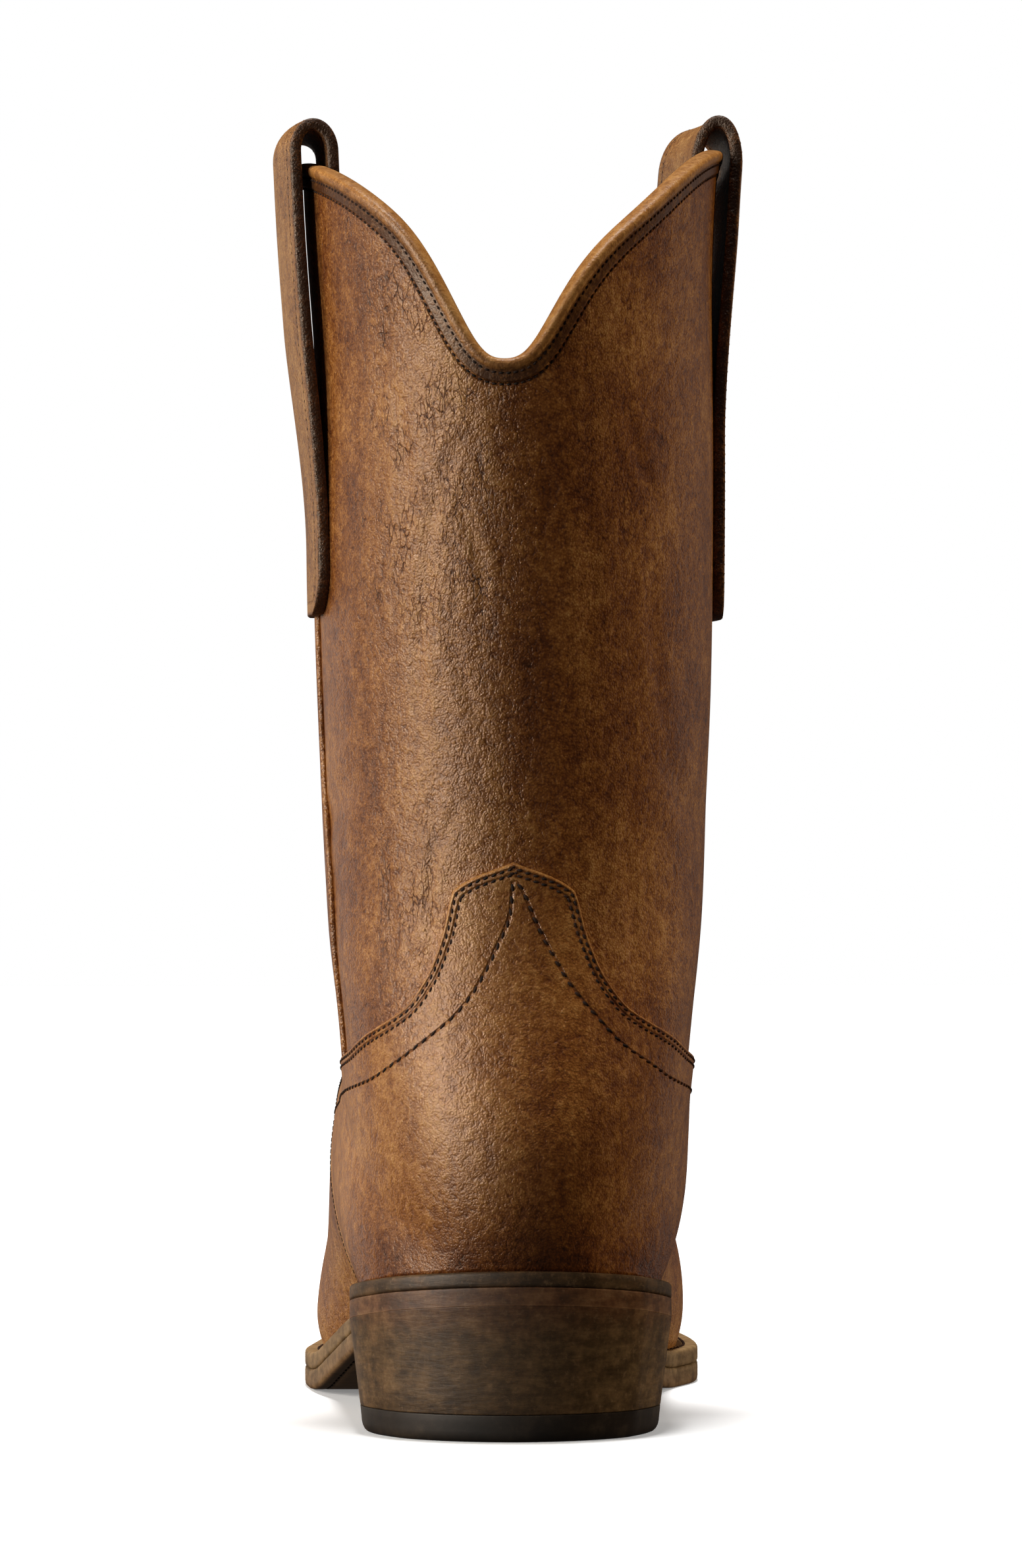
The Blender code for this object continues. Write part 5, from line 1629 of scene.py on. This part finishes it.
def heel_plan(height):
    """Wall of the heel at a height, from one breast corner round the back to the other, and straight across.

    It follows the sole's edge at the seat, and it is drawn in and raked at the back towards the floor.
    """
    swing = np.linspace(-1.0, 1.0, HEEL_ROUND_STEPS + 1)
    down = 1.0 - height / SEAT_BACK_Z
    inset = HEEL_SEAT_INSET + (HEEL_FLOOR_INSET - HEEL_SEAT_INSET) * down
    seat_y = HEEL_BREAST_Y * swing ** 2
    y = seat_y + (HEEL_SEAT_INSET + HEEL_BACK_RAKE * down) * (1.0 - swing ** 2)
    x = outline_middle(seat_y) + np.sign(swing) * outline_half(seat_y) * (1.0 - inset / HEEL_HALF_WIDE)
    across = np.linspace(x[-1], x[0], HEEL_BREAST_STEPS + 1)[1:]
    return np.concatenate((x, across)), np.concatenate((y, np.full(HEEL_BREAST_STEPS, y[0])))


def heel_ring(height, drawn):
    """The heel's wall at a height, drawn in towards its middle."""
    x, y = heel_plan(height)
    pull = 1.0 - drawn / HEEL_HALF_WIDE
    return x * pull, HEEL_BREAST_Y / 2.0 + (y - HEEL_BREAST_Y / 2.0) * pull


def stack_ring(drawn, level):
    """Ring of the stack, drawn in, at a level between the cap and the sole that it carries."""
    low = CAP_TOP + STACK_GAP
    x, y = heel_ring(low + (SEAT_BACK_Z - low) * level, drawn)
    return np.stack((x, y, low + (outsole_bottom(y) + STACK_LAP - low) * level), axis=-1)


stack_points = np.stack([stack_ring(*ring) for ring in STACK_RINGS])
stack_red = STACK_RED * ease(stack_points[..., 2], *STACK_RED_Z)
stack = shell("heel_lifts", stack_points, {"wear_and_painted_light": np.full(stack_red.shape, STACK_TONE), "red": stack_red})
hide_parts("heel_stack")
stack.data.materials.append(sole_hide("dyed_stacked_leather", 0.4))


# Heel cap: the top lift of moulded rubber that meets the floor, glued and nailed under the stack.
# Its lower rim is rounded by wear. A ring is how far it is drawn in and its height over the floor.
CAP_RINGS = (
    (38.0, 0.0),
    (19.0, 0.0),
    (1.9, 0.0),
    (1.1, 0.25),
    (0.5, 0.8),
    (0.12, 1.7),
    (0.0, 2.6),
    (0.0, 4.4),
    (0.0, 6.05),
    (0.06, 6.25),
    (0.2, 6.3),
    (19.0, 6.3),
    (38.0, 6.3),
)


def cap_ring(drawn, z):
    """Ring of the cap, drawn in, at a height over the floor."""
    x, y = heel_ring(z, drawn)
    return np.stack((x, y, np.full(len(x), z)), axis=-1)


# Moulded rubber: near black, matt, greyed by dust and fine scratches.
RUBBER_TONES = ((0.35, "#1c140d"), (0.55, "#2b2118"), (0.7, "#403325"))
RUBBER_DUST_MM = 9.0
rubber, rubber_tree, rubber_shader = material("moulded_rubber")
rubber_place = add(rubber_tree, "TexCoord").outputs["Object"]
rubber_dust = noise(rubber_tree, rubber_place, RUBBER_DUST_MM * MM, 7.0, 0.65).outputs["Fac"]
rubber_bump = add(rubber_tree, "Bump", {"Height": rubber_dust, "Strength": 0.3, "Distance": 0.4 * MM})
rubber_tree.links.new(dyed(rubber_tree, rubber_dust, RUBBER_TONES), rubber_shader.inputs["Base Color"])
rubber_tree.links.new(rubber_bump.outputs["Normal"], rubber_shader.inputs["Normal"])
rubber_shader.inputs["Roughness"].default_value = 0.62
rubber_shader.inputs["Specular IOR Level"].default_value = 0.25

cap = shell("rubber_top_lift", np.stack([cap_ring(*ring) for ring in CAP_RINGS]))
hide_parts("heel_cap")
cap.data.materials.append(rubber)


# Stage: a plain floor of white paper. A wide side light and a tall key stand at the left with a sheen that
# only glosses, a fill at the right, two weak rims behind the boot, and an even sun shines from above.
FLOOR_HALF = 6.0
FLOOR_CORNERS = ((-1.0, -1.0, 0.0), (1.0, -1.0, 0.0), (1.0, 1.0, 0.0), (-1.0, 1.0, 0.0))
WARM = (1.0, 0.95, 0.88)
LIGHTS = (
    ("side", 98.0, 1.4, 0.28, (0.7, 1.2), 20.0, WARM, ("visible_glossy",)),
    ("key", 58.0, 1.5, 0.42, (0.45, 1.3), 14.0, WARM, ()),
    ("sheen", 56.0, 1.5, 0.4, (0.4, 1.3), 50.0, (1.0, 0.91, 0.8), ("visible_diffuse",)),
    ("fill", -88.0, 1.5, 0.35, (0.6, 1.2), 17.0, (1.0, 0.94, 0.86), ("visible_glossy",)),
    ("rim_left", 140.0, 1.5, 0.15, (0.9, 1.0), 3.0, WARM, ("visible_diffuse", "visible_camera")),
    ("rim_right", -130.0, 1.5, 0.15, (0.9, 1.0), 1.0, WARM, ("visible_diffuse", "visible_camera")),
)
ROOM_GLOW = 0.04
SUN_STRENGTH = 3.45
SUN_WIDE = math.radians(9.0)
BOOT_MIDDLE = Vector((0.0, 0.0, 0.16))


floor_mesh = bpy.data.meshes.new("floor")
floor_mesh.from_pydata(np.array(FLOOR_CORNERS) * FLOOR_HALF, [], [(0, 1, 2, 3)])
floor = bpy.data.objects.new("floor", floor_mesh)
floor.visible_diffuse = False
floor.visible_glossy = False
bpy.context.scene.collection.objects.link(floor)
# White paper: even and matt, with a little light of its own, so that it goes over into the white room.
paper, _, paper_shader = material("white_paper")
paper_shader.inputs["Base Color"].default_value = (0.95, 0.95, 0.95, 1.0)
paper_shader.inputs["Roughness"].default_value = 0.9
paper_shader.inputs["Emission Color"].default_value = (1.0, 1.0, 1.0, 1.0)
paper_shader.inputs["Emission Strength"].default_value = 0.2
paper_shader.inputs["Specular IOR Level"].default_value = 0.1
floor_mesh.materials.append(paper)


def soft_light(name, turn, distance, height, size, power, colour):
    """A tall rectangular soft light at a turn to the left of the picture, aimed at the middle of the boot."""
    data = bpy.data.lights.new(name, "AREA")
    data.shape = "RECTANGLE"
    data.size, data.size_y = size
    data.energy = power
    data.color = colour
    made = bpy.data.objects.new(name, data)
    turn = math.radians(turn)
    made.location = (-math.sin(turn) * distance, -math.cos(turn) * distance, height)
    made.rotation_euler = (BOOT_MIDDLE - made.location).to_track_quat("-Z", "Y").to_euler()
    bpy.context.scene.collection.objects.link(made)
    return made


for *light_sizes, hidden in LIGHTS:
    light = soft_light(*light_sizes)
    for kind in hidden:
        setattr(light, kind, False)
sky = bpy.data.lights.new("overhead", "SUN")
sky.energy = SUN_STRENGTH
sky.angle = SUN_WIDE
overhead = bpy.data.objects.new("overhead", sky)
bpy.context.scene.collection.objects.link(overhead)

world = bpy.data.worlds.new("studio")
bpy.context.scene.world = world
world.use_nodes = True
room = world.node_tree
seen = add(room, "LightPath").outputs["Is Camera Ray"]
glow = add(room, "MapRange", {"Value": seen, "To Min": ROOM_GLOW, "To Max": 1.0})
room.links.new(glow.outputs[0], room.nodes["Background"].inputs["Strength"])
room.nodes["Background"].inputs["Color"].default_value = (1.0, 1.0, 1.0, 1.0)

CAMERA_MM = np.array((-84.0, -1567.8, 132.5))
CAMERA_TURN = math.radians(3.0)
CAMERA_TILT = math.radians(0.72)
camera_data = bpy.data.cameras.new("camera")
camera_data.lens = 156.2
camera_data.sensor_width = 36.0
camera = bpy.data.objects.new("camera", camera_data)
camera.location = (CAMERA_MM - MIDDLE) * MM
camera.rotation_euler = (math.pi / 2.0 + CAMERA_TILT, 0.0, -CAMERA_TURN)
bpy.context.scene.collection.objects.link(camera)
bpy.context.scene.camera = camera
bpy.context.scene.view_settings.view_transform = "Standard"
